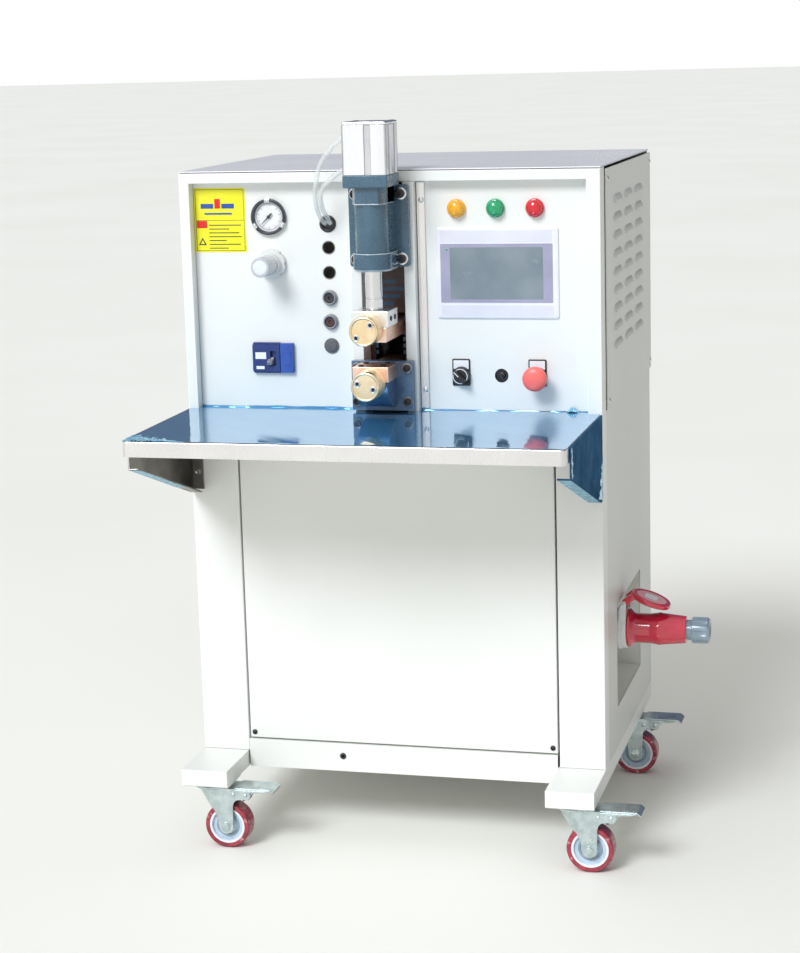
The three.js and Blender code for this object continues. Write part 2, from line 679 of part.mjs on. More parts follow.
// A round base with a grip bar, turned to the upper left.
function selectorKnob() {
  const { selector: x, z } = SWITCHES;
  const [stem, radius, back] = [8.5, 13.5, 14];
  const base = turnedY([[0, 32], [stem, 32], [stem, back], [radius, back], [13, 5], [0, 5]], 0, 0);
  const grip = block({ x: [-3.6, 3.6], y: [-5, 7], z: [-12.5, 12.5] });
  return join(base, grip).rotate([0, -45, 0]).translate([x, 0, z]);
}

// A mushroom head on its stem.
function stopButton() {
  const [stem, head] = [9, 20];
  return turnedY([
    [0, 32], [stem, 32], [stem, -6], [head - 1.5, -8], [head, -11], [head, -15], [head - 2, -19.5],
    [head - 8, -22.5], [0, -23.5],
  ], SWITCHES.stop, SWITCHES.z);
}

// ---- mains inlet ----------------------------------------------------------------------------

const SOCKET = { flange: 38, neck: 32, collar: 37, ring: 35.5, mouth: 28.2, tail: 27, sides: 20 };
const LID = { hingeX: 358, hingeZ: 388, tilt: 20, radius: 35, start: 9, rise: 13, yoke: 25.5 };
const PLUG = { pins: 27.2, flange: 33, gland: 22.5 };

// The pan behind the opening in the side, with a hole for the socket's tail.
function inletTub() {
  const outside = CABINET.half - SHEET - GAP;
  const inside = outside - INLET.depth;
  const outer = box(
    [inside, INLET.front - SHEET, INLET.bottom - SHEET],
    [outside, INLET.back + SHEET, INLET.top + SHEET],
  );
  const inner = box([inside + SHEET, INLET.front, INLET.bottom], [outside + 1, INLET.back, INLET.top]);
  return cut(outer, inner, pinX(30, INLET.y, INLET.z, inside - 1, inside + SHEET + 1));
}

// Square flange, round neck, stepped collar and the ears of the lid's hinge, bored for the plug.
function socketHousing() {
  const { y, z } = INLET;
  const wall = CABINET.half - INLET.depth;
  const half = SOCKET.flange;
  const ears = [-32, 26].map((side) =>
    box([349, y + side, LID.hingeZ - 32], [LID.hingeX + 3, y + side + 6, LID.hingeZ + 3]));
  const body = join(
    box([wall, y - half, z - half], [wall + 4, y + half, z + half]),
    pinX(SOCKET.neck, y, z, wall, CABINET.half, SOCKET.sides),
    pinX(SOCKET.collar, y, z, 345, 355, SOCKET.sides),
    pinX(SOCKET.ring, y, z, 354, 361, SOCKET.sides),
    pinX(SOCKET.tail, y, z, 270, wall + 1),
    ...ears,
  );
  return cut(body, pinX(SOCKET.mouth, y, z, 306, 362, SOCKET.sides));
}

// A round lid that a yoke lifts off its hinge and that leans down over the plug.
function socketLid() {
  const { hingeX, hingeZ, tilt, radius, start, rise, yoke } = LID;
  const disc = pinZ(radius, radius, 0, -3, 6, 24).rotate([0, tilt, 0]).translate([start, 0, rise]);
  const arm = prismY(polygon([[-4, -4], [4, -4], [18, 6], [18, 12], [9, 15], [-4, 4]]), -yoke, yoke);
  return join(disc, arm).translate([hingeX, INLET.y, hingeZ]);
}

// The part inside the socket, the flange against its ring, the grip and the cable gland.
function mainsPlug() {
  const { pins, flange, gland } = PLUG;
  return turnedX([
    [0, 312], [pins, 312], [pins, 361.5], [flange, 361.5], [flange, 366], [26, 372], [25.5, 400],
    [28, 416], [23, 461], [17, 461.5], [17, 470], [gland, 471], [gland, 497], [20, 500], [0, 500],
  ], INLET.y, INLET.z, SOCKET.sides);
}

// ---- castors --------------------------------------------------------------------------------

const AXLE = { x: CASTOR.trail, z: WHEEL.radius, radius: 5 };
const FORK = { inner: 18.3, outer: 21.3, rear: -24, armTop: 105, crown: 30, nut: 8, nutReach: 5 };
const CROWN_TOP = CASTOR.height - CASTOR.plate - GAP;
const PEDAL = { pivotX: 64, pivotZ: 96, root: 46, tip: 113, halfWidth: 22 };

// One side plate of the fork, in X and Z from the swivel axis: leg, round foot and brake arm.
function forkPlate() {
  const shape = new THREE.Shape();
  const foot = 12.5;
  shape.moveTo(FORK.rear, FORK.armTop);
  shape.lineTo(AXLE.x - foot, AXLE.z + 4);
  shape.absarc(AXLE.x, AXLE.z, foot, Math.PI, 2 * Math.PI);
  shape.lineTo(41, 78);
  shape.quadraticCurveTo(42, 87, 56, 88);
  shape.absarc(PEDAL.pivotX, PEDAL.pivotZ, 9, -Math.PI / 2, Math.PI / 2);
  return shape;
}

// Two legs joined by a web and a roof, the crown of the swivel, the axle and its hexagon ends.
function castorFork() {
  const { inner, outer, rear, armTop, crown, nut, nutReach } = FORK;
  const legs = [[-outer, -inner], [inner, outer]].map(([y0, y1]) => prismY(forkPlate(), y0, y1));
  const web = polygon([[rear, armTop], [rear + 4, armTop], [2, 76], [-3, 76]]);
  return join(
    ...legs,
    prismY(web, -inner - 1, inner + 1),
    box([rear, -outer, armTop - 3], [40, outer, armTop + 1]),
    pinZ(crown, 0, 0, armTop, CROWN_TOP),
    pinY(AXLE.radius, AXLE.x, AXLE.z, -inner - 1, inner + 1, 8),
    pinY(nut, AXLE.x, AXLE.z, -outer - nutReach, -outer + 1, 6),
    pinY(nut, AXLE.x, AXLE.z, outer - 1, outer + nutReach, 6),
  );
}

// Tread and hub, with a flat facet under the axle so that the wheel stands on a face.
function castorWheel() {
  const radius = WHEEL.radius / Math.cos(Math.PI / WHEEL.sides);
  const half = WHEEL.width / 2;
  const hub = half + 1.6;
  const edge = 2.5;
  const profile = [
    [WHEEL.bore, -hub], [12, -hub], [15, -half], [radius - edge, -half], [radius, edge - half],
    [radius, half - edge], [radius - edge, half], [15, half], [12, hub], [WHEEL.bore, hub],
    [WHEEL.bore, -hub],
  ];
  return turnedY(profile, AXLE.x, AXLE.z, WHEEL.sides);
}

// The cam between the fork's legs, and the sheet that is trodden on, folded down at its tip.
function brakePedal() {
  const { root, tip, halfWidth } = PEDAL;
  const cam = block({ x: [52, 76], y: [-17.8, 17.8], z: [91, 106] });
  const [under, over] = [105.6, 108.6];
  const tread = polygon([
    [root, under], [tip - 9, under], [tip, 100.5], [tip, 103.5], [tip - 8, over], [root, over],
  ]);
  return join(cam, prismY(tread, -halfWidth, halfWidth));
}

function placeCastor(name, x, y) {
  const castor = new THREE.Group();
  castor.position.set(x, y, 0);
  place(`castor_fork_${name}`, castorFork(), MATERIALS.zinc, castor);
  place(`castor_wheel_${name}`, castorWheel(), MATERIALS.tread, castor);
  place(`brake_pedal_${name}`, brakePedal(), MATERIALS.zinc, castor);
  machine.add(castor);
}

// ---- assembly -------------------------------------------------------------------------------

place("left_foot_rail", footRail(-1), MATERIALS.paint);
place("right_foot_rail", footRail(1), MATERIALS.paint);
place("base_pan", basePan(), MATERIALS.paint);
place("front_frame", frontFrame(), MATERIALS.paint);
place("left_lower_side", lowerSide(-1), MATERIALS.paint);
place("right_lower_side", lowerSide(1), MATERIALS.paint);
place("left_louvre_panel", louvrePanel(-1), MATERIALS.paint);
place("right_louvre_panel", louvrePanel(1), MATERIALS.paint);
place("rear_panel", rearPanel(), MATERIALS.paint);
place("top_cover", topCover(), MATERIALS.paint);
place("lower_front_panel", lowerFrontPanel(), MATERIALS.paint);
place("instrument_panel", instrumentPanel(), MATERIALS.paint);
place("control_panel", controlPanel(), MATERIALS.paint);
place("worktable", worktable(), MATERIALS.film);
place("left_bracket", bracket(-1), MATERIALS.stainless);
place("right_bracket", bracket(1), MATERIALS.film);

place("left_head_rail", headRail(HEAD_RAILS.left), MATERIALS.paint);
place("right_head_rail", headRail(HEAD_RAILS.right), MATERIALS.paint);
place("insulation_board", insulationBoard(), MATERIALS.board);
place("head_housing", headHousing(), MATERIALS.casting);
place("cylinder_barrel", cylinderBarrel(), MATERIALS.aluminium);
place("ram_rod", ramRod(), MATERIALS.chrome);
place("upper_holder", block(UPPER_HOLDER), MATERIALS.aluminium);
place("upper_copper_arm", block(UPPER_ARM), MATERIALS.copper);
place("upper_electrode", electrodeDisc(UPPER_HOLDER.y[0], ELECTRODE.upperZ), MATERIALS.brass);
place("flexible_shunt", flexibleShunt(), MATERIALS.copper);
place("lower_bracket", lowerBracket(), MATERIALS.casting);
place("lower_copper_block", lowerCopperBlock(), MATERIALS.copper);
place("lower_electrode", electrodeDisc(LOWER_BLOCK.y[0], ELECTRODE.lowerZ), MATERIALS.brass);
place("welding_transformer", weldingTransformer(), MATERIALS.steel);
place("air_tube_upper", airTube("upper"), MATERIALS.tube);
place("air_tube_lower", airTube("lower"), MATERIALS.tube);

place("gauge_case", gaugeCase(), MATERIALS.black);
place("gauge_needle", gaugeNeedle(), MATERIALS.black);
place("regulator_body", regulatorBody(), MATERIALS.grey);
place("regulator_knob", regulatorKnob(), MATERIALS.grey);
place("breaker_case", breakerCase(), MATERIALS.blue);
place("breaker_toggle", breakerToggle(), MATERIALS.black);
place("lamp_yellow", lamp(LAMPS.yellow), MATERIALS.yellow);
place("lamp_green", lamp(LAMPS.green), MATERIALS.green);
place("lamp_red", lamp(LAMPS.red), MATERIALS.red);
place("touch_screen", touchScreen(), MATERIALS.grey);
place("selector_knob", selectorKnob(), MATERIALS.black);
place("stop_button", stopButton(), MATERIALS.red);

place("inlet_tub", inletTub(), MATERIALS.paint);
place("socket_housing", socketHousing(), MATERIALS.grey);
place("socket_lid", socketLid(), MATERIALS.red);
place("mains_plug", mainsPlug(), MATERIALS.red);

for (const [row, y] of Object.entries(CASTOR_ROWS)) {
  placeCastor(`${row}_left`, -SWIVEL_X, y);
  placeCastor(`${row}_right`, SWIVEL_X, y);
}

machine.position.set(-ORIGIN.x, -ORIGIN.y, 0);

export default machine;
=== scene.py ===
"""Looks of the pneumatic spot welder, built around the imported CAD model."""
import math

import bmesh
import bpy
from mathutils import Matrix, Vector


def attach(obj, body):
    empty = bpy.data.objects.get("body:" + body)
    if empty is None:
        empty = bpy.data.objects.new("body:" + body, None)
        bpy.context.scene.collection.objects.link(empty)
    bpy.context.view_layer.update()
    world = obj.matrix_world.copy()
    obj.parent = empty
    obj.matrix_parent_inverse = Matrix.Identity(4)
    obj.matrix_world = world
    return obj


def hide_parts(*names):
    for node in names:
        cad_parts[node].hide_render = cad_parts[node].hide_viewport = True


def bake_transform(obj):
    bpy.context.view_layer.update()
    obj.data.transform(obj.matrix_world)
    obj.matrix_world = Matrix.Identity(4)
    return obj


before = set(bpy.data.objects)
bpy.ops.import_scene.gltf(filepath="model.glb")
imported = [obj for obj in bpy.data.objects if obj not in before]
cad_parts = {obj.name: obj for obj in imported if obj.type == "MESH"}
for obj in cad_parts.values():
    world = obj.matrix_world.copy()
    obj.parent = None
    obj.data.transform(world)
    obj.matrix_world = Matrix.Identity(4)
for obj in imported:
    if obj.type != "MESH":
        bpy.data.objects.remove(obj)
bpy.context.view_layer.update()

# ---- driving dimensions ---------------------------------------------------------------------
# Millimetres, in the cabinet's own frame: X = 0 is the middle of the cabinet, Y = 0 the face of
# its front frame, Z = 0 the floor. TO_PART carries that frame to the part's, in metres.

TO_PART = Matrix.Scale(0.001, 4) @ Matrix.Translation((-71, -104.5, 0))

HALF = 350            # half the cabinet's width
DEPTH = 521
TOP = 1131
PANEL = 20            # front face of the two recessed panels
TABLE = {"top": 738, "front": -312, "half": 347.2}
RECESS = {"left": -332.4, "right": 327, "top": 1111}
DOOR = {"left": -265, "right": 270, "bottom": 167, "top": 697}
HEAD = {"x": -7.5, "y": -51}
COLUMN_X = -102       # the column of round holes on the left panel
COLUMN_Z = (1043, 1004, 963, 922, 882.5, 842.7)
GAUGE = (-202, 1055)
REGULATOR = (-200, 978)
BREAKER = {"left": -237, "right": -167, "bottom": 797, "top": 848}
SCREEN = {"x": 179, "z": 962.5, "width": 200, "height": 146.5}
LAMPS = {"yellow": 114, "green": 178, "red": 242}
LAMP_Z = 1066
PANELS = {"left": (-332.1, -62), "right": (50, 326.7), "bottom": 738.3, "top": 1110.7}
SWITCH_Z = 796
SWITCH_X = {"selector": 117, "blank": 182.7, "stop": 243.5}
DISC = {"x": -11.5, "front": -108, "upper": 883, "lower": 794.4}
LOUVRES = {"rows": 9, "bottom": 836, "pitch": 29.7, "columns": (149, 262, 375), "length": 88}
INLET = {"y": 180, "z": 339}
LID = {"x": 358, "z": 388, "tilt": 20, "radius": 35, "start": 9, "rise": 13}
SWIVELS = {
    "front_left": (-310, -77), "front_right": (310, -77),
    "rear_left": (-310, 419), "rear_right": (310, 419),
}
AXLE = (28, 39)       # of a castor wheel, from its swivel axis and the floor
TUBE = 8              # outside diameter of the air tubes
FILM_THICKNESS = 0.2
SWITCH_HOLE = 11.2    # radius of the holes for switches and lamps
HOUSING = {"bottom": 976, "top": 1107}
STRAP = {"front": 40.3, "back": 109.7, "z": 874, "thick": 7, "rise": 14, "leaves": 7}

# Centre lines of the two air tubes, from the cylinder's fittings to the hole in the panel.
TUBE_ROUTES = {
    "air_tube_upper": [
        (-55.92, -33, 1183.93), (-64, -33, 1177.6), (-73.8, -33, 1170), (-82.4, -34, 1160),
        (-91.2, -36, 1147.7), (-97.1, -38.5, 1133.5), (-100.6, -40, 1118.4), (-103.9, -38, 1103.2),
        (-106.4, -30, 1085.2), (-107.2, -17, 1066.8), (-106.6, 0, 1052), (-106.2, 12, 1046.1),
        (-106.9, 19.9, 1043.9),
    ],
    "air_tube_lower": [
        (-57.02, -33, 1133), (-64, -33, 1128.7), (-71.3, -33, 1124.2), (-82.6, -33, 1114.3),
        (-92, -33, 1104.2), (-97.5, -30.5, 1091.7), (-99, -22.5, 1078.4), (-99.3, -11, 1065.7),
        (-97.6, 4, 1053.7), (-97.2, 13, 1046), (-97.6, 19.6, 1044.3),
    ],
}


# ---- camera, light and floor ----------------------------------------------------------------

CAMERA = {"lens": 82.22, "at": (0.8487, -3.4966, 1.3248), "yaw": 0.2612, "pitch": -0.1955, "roll": -0.0284}


def add_camera():
    yaw, pitch, roll = CAMERA["yaw"], CAMERA["pitch"], CAMERA["roll"]
    forward = Vector((-math.sin(yaw) * math.cos(pitch), math.cos(yaw) * math.cos(pitch), math.sin(pitch)))
    level = Vector((math.cos(yaw), math.sin(yaw), 0))
    upright = level.cross(forward)
    right = level * math.cos(roll) + upright * math.sin(roll)
    up = upright * math.cos(roll) - level * math.sin(roll)
    data = bpy.data.cameras.new("camera")
    data.lens = CAMERA["lens"]
    data.sensor_width = 36
    data.clip_end = 200
    camera = bpy.data.objects.new("camera", data)
    bpy.context.scene.collection.objects.link(camera)
    turn = Matrix((right, up, -forward)).transposed().to_4x4()
    camera.matrix_world = Matrix.Translation(CAMERA["at"]) @ turn
    bpy.context.scene.camera = camera


def sky(nodes, links, direction, stops):
    """A background that goes through the stops from straight away from a direction to straight at it."""
    facing = nodes.new("ShaderNodeVectorMath")
    facing.operation = "DOT_PRODUCT"
    facing.inputs[1].default_value = Vector(direction).normalized()
    spread = nodes.new("ShaderNodeMapRange")
    spread.inputs["From Min"].default_value = -1
    ramp = nodes.new("ShaderNodeValToRGB")
    for _ in stops[2:]:
        ramp.color_ramp.elements.new(0.5)
    for element, (position, color) in zip(ramp.color_ramp.elements, stops):
        element.position = position
        element.color = (*color, 1)
    background = nodes.new("ShaderNodeBackground")
    links.new(nodes["place"].outputs["Generated"], facing.inputs[0])
    links.new(facing.outputs["Value"], spread.inputs["Value"])
    links.new(spread.outputs["Result"], ramp.inputs["Fac"])
    links.new(ramp.outputs["Color"], background.inputs["Color"])
    return background.outputs["Background"]


def add_light():
    """A wide soft sun from the front left, a sky that is bright above and dim to the right and behind,
    a bright front for what shines, and plain white where the camera looks past the floor."""
    sun = bpy.data.lights.new("key", "SUN")
    sun.energy = 2.3
    sun.color = (0.91, 0.95, 1.0)
    sun.angle = math.radians(22)
    key = bpy.data.objects.new("key", sun)
    toward = Vector((-0.28, -0.76, 0.68)).normalized()
    key.matrix_world = toward.to_track_quat("Z", "Y").to_matrix().to_4x4()
    bpy.context.scene.collection.objects.link(key)

    world = bpy.data.worlds.new("studio")
    world.use_nodes = True
    nodes, links = world.node_tree.nodes, world.node_tree.links
    nodes.clear()
    nodes.new("ShaderNodeTexCoord").name = "place"
    lit = sky(nodes, links, (-0.32, -0.30, 0.9), [
        (0.0, (0.06, 0.07, 0.09)), (0.42, (0.10, 0.11, 0.14)), (0.66, (0.30, 0.30, 0.31)),
        (0.84, (0.68, 0.68, 0.68)), (1.0, (0.95, 0.95, 0.93)),
    ])
    shine = sky(nodes, links, (-0.25, -0.85, 0.45), [
        (0.0, (0.08, 0.10, 0.16)), (0.36, (0.17, 0.19, 0.25)), (0.52, (0.50, 0.51, 0.54)),
        (0.74, (0.95, 0.95, 0.95)), (1.0, (1.0, 1.0, 1.0)),
    ])
    backdrop = nodes.new("ShaderNodeBackground")
    backdrop.inputs["Color"].default_value = (1, 1, 1, 1)
    path = nodes.new("ShaderNodeLightPath")
    glossy = nodes.new("ShaderNodeMixShader")
    shown = nodes.new("ShaderNodeMixShader")
    output = nodes.new("ShaderNodeOutputWorld")
    links.new(path.outputs["Is Glossy Ray"], glossy.inputs["Fac"])
    links.new(lit, glossy.inputs[1])
    links.new(shine, glossy.inputs[2])
    links.new(path.outputs["Is Camera Ray"], shown.inputs["Fac"])
    links.new(glossy.outputs["Shader"], shown.inputs[1])
    links.new(backdrop.outputs["Background"], shown.inputs[2])
    links.new(shown.outputs["Shader"], output.inputs["Surface"])
    bpy.context.scene.world = world
    bpy.context.scene.view_settings.view_transform = "Standard"


def add_floor():
    mesh = bpy.data.meshes.new("floor")
    reach = 90
    corners = [(-reach, -reach, 0), (reach, -reach, 0), (reach, reach, 0), (-reach, reach, 0)]
    mesh.from_pydata(corners, [], [(0, 1, 2, 3)])
    floor = bpy.data.objects.new("floor", mesh)
    bpy.context.scene.collection.objects.link(floor)
    mesh.materials.append(surface("floor_paint", (0.86, 0.855, 0.80), (0.90, 0.895, 0.845), (0.6, 0.7),
                                  cloud=0.6, grain=700, bump=0.02, depth=0.0002))


# ---- materials ------------------------------------------------------------------------------

class Surface:
    """A Principled material whose colour, roughness and relief come from noise in object space."""

    def __init__(self, name):
        self.material = bpy.data.materials.new(name)
        self.material.use_nodes = True
        self.nodes = self.material.node_tree.nodes
        self.links = self.material.node_tree.links
        self.shader = self.nodes["Principled BSDF"]
        self.place = self.nodes.new("ShaderNodeTexCoord").outputs["Object"]
        self.relief = None

    def noise(self, scale, stretch=(1, 1, 1), detail=3.0):
        """Noise of that many features per metre, drawn out where stretch is below 1."""
        mapping = self.nodes.new("ShaderNodeMapping")
        mapping.inputs["Scale"].default_value = stretch
        texture = self.nodes.new("ShaderNodeTexNoise")
        texture.inputs["Scale"].default_value = scale
        texture.inputs["Detail"].default_value = detail
        self.links.new(self.place, mapping.inputs["Vector"])
        self.links.new(mapping.outputs["Vector"], texture.inputs["Vector"])
        return texture.outputs["Fac"]

    def rings(self, centre, pitch, axis):
        """Fine turning marks around an axis through centre, pitch metres apart."""
        mapping = self.nodes.new("ShaderNodeMapping")
        mapping.inputs["Location"].default_value = -(TO_PART @ Vector(centre))
        texture = self.nodes.new("ShaderNodeTexWave")
        texture.wave_type = "RINGS"
        texture.rings_direction = axis
        texture.inputs["Scale"].default_value = math.pi / 10 / pitch
        texture.inputs["Distortion"].default_value = 0.4
        self.links.new(self.place, mapping.inputs["Vector"])
        self.links.new(mapping.outputs["Vector"], texture.inputs["Vector"])
        return texture.outputs["Fac"]

    def ranged(self, value, low, high, start=0.3, end=0.7):
        node = self.nodes.new("ShaderNodeMapRange")
        for key, number in (("From Min", start), ("From Max", end), ("To Min", low), ("To Max", high)):
            node.inputs[key].default_value = number
        self.links.new(value, node.inputs["Value"])
        return node.outputs["Result"]

    def color(self, factor, dark, light):
        """Base colour between two, by factor; dark may be a socket."""
        node = self.nodes.new("ShaderNodeMix")
        node.data_type = "RGBA"
        self.links.new(factor, node.inputs["Factor"])
        for socket, value in ((node.inputs[6], dark), (node.inputs[7], light)):
            if isinstance(value, tuple):
                socket.default_value = (*value, 1)
            else:
                self.links.new(value, socket)
        self.links.new(node.outputs[2], self.shader.inputs["Base Color"])
        return node.outputs[2]

    def bump(self, height, strength, depth):
        node = self.nodes.new("ShaderNodeBump")
        node.inputs["Strength"].default_value = strength
        node.inputs["Distance"].default_value = depth
        self.links.new(height, node.inputs["Height"])
        if self.relief is not None:
            self.links.new(self.relief, node.inputs["Normal"])
        self.relief = node.outputs["Normal"]
        self.links.new(self.relief, self.shader.inputs["Normal"])


def surface(name, dark, light, rough, metallic=0.0, cloud=60, grain=900, bump=0.2, depth=0.0001,
            stretch=(1, 1, 1), marks=None, **sockets):
    """A finished material: cloudy colour, uneven roughness, fine relief and sparse marks.
    marks: (colour, features per metre, share of the noise that they cover)."""
    made = Surface(name)
    clouds = made.noise(cloud)
    fine = made.noise(grain, stretch)
    color = made.color(made.ranged(clouds, 0, 1), dark, light)
    made.links.new(made.ranged(fine, *rough), made.shader.inputs["Roughness"])
    made.bump(fine, bump, depth)
    if marks:
        tint, scale, share = marks
        patch = made.ranged(made.noise(scale, detail=8), 0, 0.7, 1 - share, 1 - share + 0.08)
        made.color(patch, color, tint)
    made.shader.inputs["Metallic"].default_value = metallic
    for key, value in sockets.items():
        made.shader.inputs[key.replace("_", " ")].default_value = value
    return made.material


def turned_metal(name, dark, light, rough, centre, axis, pitch=0.0009):
    """Lathe-turned metal with rings around its axis."""
    made = Surface(name)
    made.color(made.ranged(made.noise(60), 0, 1), dark, light)
    made.links.new(made.ranged(made.noise(900), *rough), made.shader.inputs["Roughness"])
    made.bump(made.rings(centre, pitch, axis), 0.25, 0.00006)
    made.bump(made.noise(1500), 0.15, 0.00004)
    made.shader.inputs["Metallic"].default_value = 1
    return made.material


FINISH = {}


def build_materials():
    """Every finish by its short name."""
    gloss = {"Coat_Weight": 0.5, "Coat_Roughness": 0.08}
    across, upright = (0.02, 1, 1), (1, 1, 0.015)

    def add(finish, *values, **options):
        FINISH[finish] = surface(*values, **options)

    add("paint", "powder_coat", (0.80, 0.81, 0.775), (0.86, 0.865, 0.835), (0.36, 0.48), cloud=3, bump=0.12,
        depth=0.00012, marks=((0.62, 0.61, 0.56), 26, 0.26))
    # painted shade: a darker copy of the front's powder coat for the sides, rear, louvre panels and inlet
    # tub, standing in for the shade on faces turned from the light
    add("shaded_side_paint", "shaded_side_powder_coat", (0.66, 0.67, 0.63), (0.71, 0.72, 0.68), (0.34, 0.5), cloud=2.5,
        bump=0.14, depth=0.00012, marks=((0.62, 0.625, 0.58), 16, 0.3))
    add("top_paint", "top_powder_coat", (0.78, 0.775, 0.815), (0.86, 0.855, 0.885), (0.2, 0.36), cloud=6,
        bump=0.12, depth=0.00012, marks=((0.70, 0.68, 0.76), 9, 0.32))
    add("steel", "strip_steel", (0.72, 0.70, 0.69), (0.82, 0.80, 0.79), (0.2, 0.34), 1, cloud=9, grain=1500,
        bump=0.15, depth=0.00005, stretch=upright)
    # painted shade and reflections: stainless far darker than the table's steel, for the shaded inside of the
    # left gusset, with brown patches painted as reflections
    add("painted_shade_steel", "stainless_painted_shade_and_reflections", (0.20, 0.19, 0.18), (0.36, 0.34, 0.32), (0.3, 0.5), 1, cloud=22,
        grain=1200, depth=0.00006, stretch=across, marks=((0.24, 0.15, 0.10), 40, 0.35))
    add("film", "protective_film", (0.085, 0.325, 0.60), (0.14, 0.405, 0.67), (0.05, 0.12), 0.66, cloud=7,
        grain=26, bump=0.08, depth=0.0006, stretch=(0.25, 1, 1), marks=((0.26, 0.50, 0.74), 55, 0.22),
        Coat_Weight=0.7, Coat_Roughness=0.05)
    # painted reflection: a matte, dark copy of the blue film for the right gusset's outer face, standing in
    # for the dark surroundings it reflects
    add("painted_dark_reflection_film", "painted_dark_reflection_film", (0.034, 0.098, 0.190), (0.060, 0.150, 0.265), (0.55, 0.75), cloud=24,
        grain=60, bump=0.4, depth=0.001, marks=((0.10, 0.34, 0.54), 60, 0.34), Specular_IOR_Level=0.0)
    add("torn_film", "torn_film", (0.10, 0.44, 0.72), (0.48, 0.78, 0.90), (0.12, 0.25), 0.1, cloud=120,
        grain=180, bump=0.5, depth=0.001, **gloss)
    add("teal_film", "teal_film", (0.02, 0.22, 0.36), (0.14, 0.42, 0.56), (0.2, 0.35), 0.0, cloud=50,
        grain=90, bump=0.4, depth=0.0008, Specular_IOR_Level=0.25)
    add("casting", "casting_paint", (0.034, 0.092, 0.142), (0.056, 0.128, 0.185), (0.2, 0.34), cloud=30,
        grain=260, bump=0.06, depth=0.0003, **gloss)
    # painted highlight: a light blue-grey for the rims of the head's casting, standing in for the highlights
    # along its edges
    add("casting_painted_highlight", "casting_painted_highlight", (0.34, 0.43, 0.50), (0.56, 0.64, 0.68), (0.2, 0.35), grain=300,
        depth=0.0003, **gloss)
    add("navy", "navy_casting", (0.052, 0.110, 0.205), (0.092, 0.172, 0.285), (0.25, 0.4), cloud=35,
        grain=260, bump=0.08, depth=0.0003, **gloss)
    add("anodised", "anodised_aluminium", (0.86, 0.86, 0.88), (0.92, 0.92, 0.93), (0.24, 0.32), 1, cloud=5,
        grain=1600, bump=0.05, depth=0.00003, stretch=upright)
    # painted shade: a darker copy of the anodised aluminium for the faces inside the cylinder's grooves
    add("groove", "groove_painted_shade_aluminium", (0.56, 0.56, 0.58), (0.68, 0.68, 0.70), (0.3, 0.42), 1, cloud=20,
        grain=1600, bump=0.05, depth=0.00003, stretch=upright)
    add("milled", "milled_aluminium", (0.78, 0.78, 0.78), (0.90, 0.90, 0.89), (0.22, 0.38), 1, cloud=40,
        depth=0.00005, stretch=across)
    add("chrome", "hard_chrome", (0.70, 0.69, 0.70), (0.80, 0.80, 0.81), (0.04, 0.12), 1, cloud=25,
        grain=1200, bump=0.08, depth=0.00004, stretch=(1, 1, 0.1), marks=((0.42, 0.36, 0.33), 45, 0.33))
    add("bright", "bright_steel", (0.55, 0.56, 0.58), (0.74, 0.75, 0.77), (0.14, 0.3), 1, cloud=80,
        grain=1500, bump=0.15, depth=0.00004)
    for level, dark, light in (
        ("upper", (0.86, 0.63, 0.36), (0.94, 0.76, 0.50)), ("lower", (0.86, 0.65, 0.40), (0.94, 0.78, 0.54)),
    ):
        centre = (DISC["x"], DISC["front"], DISC[level])
        FINISH[f"brass_{level}"] = turned_metal(f"turned_brass_{level}", dark, light, (0.24, 0.38), centre,
                                                "Y")
    add("copper", "milled_copper", (0.95, 0.58, 0.42), (1.0, 0.76, 0.62), (0.26, 0.42), 1, cloud=45,
        grain=1100, depth=0.00006, stretch=across, marks=((0.76, 0.38, 0.24), 60, 0.28))
    add("board", "laminate_board", (0.050, 0.022, 0.022), (0.095, 0.045, 0.042), (0.3, 0.5), cloud=35,
        grain=500, bump=0.25, depth=0.0002)
    add("board_print", "board_print", (0.020, 0.065, 0.135), (0.035, 0.105, 0.190), (0.3, 0.45), grain=500)
    add("black", "black_plastic", (0.010, 0.010, 0.012), (0.022, 0.022, 0.025), (0.28, 0.45), cloud=50,
        grain=1200, depth=0.00008)
    add("gauge_ring", "gauge_ring", (0.040, 0.040, 0.052), (0.085, 0.085, 0.10), (0.18, 0.3), 0.4, cloud=70,
        bump=0.15)
    # painted shade: near black for the shaded openings under the louvre hoods and the floors of the electrode
    # screws' sockets
    add("hole", "painted_shade_inside", (0.004, 0.004, 0.005), (0.010, 0.009, 0.009), (0.6, 0.8), cloud=80,
        grain=700, bump=0.1, depth=0.0002)
    add("dark_steel", "black_oxide", (0.030, 0.028, 0.032), (0.075, 0.068, 0.072), (0.25, 0.42), 0.8,
        cloud=150, grain=1500, depth=0.00006)
    add("zinc", "zinc_plate", (0.42, 0.50, 0.51), (0.62, 0.70, 0.70), (0.2, 0.4), 0.92, grain=600,
        marks=((0.30, 0.36, 0.36), 70, 0.3))
    add("tread", "polyurethane_tread", (0.20, 0.008, 0.022), (0.42, 0.028, 0.06), (0.18, 0.42), grain=420,
        bump=0.35, depth=0.0003, marks=((0.66, 0.36, 0.38), 95, 0.38), **gloss)
    add("hub", "wheel_hub", (0.42, 0.55, 0.68), (0.56, 0.67, 0.78), (0.25, 0.4), grain=800, bump=0.15)
    add("rim", "wheel_rim", (0.72, 0.76, 0.80), (0.82, 0.85, 0.88), (0.25, 0.4), grain=800, bump=0.15)
    add("red", "red_plastic", (0.56, 0.006, 0.034), (0.70, 0.014, 0.055), (0.1, 0.2), cloud=25, bump=0.08,
        Coat_Weight=1.0, Coat_Roughness=0.05)
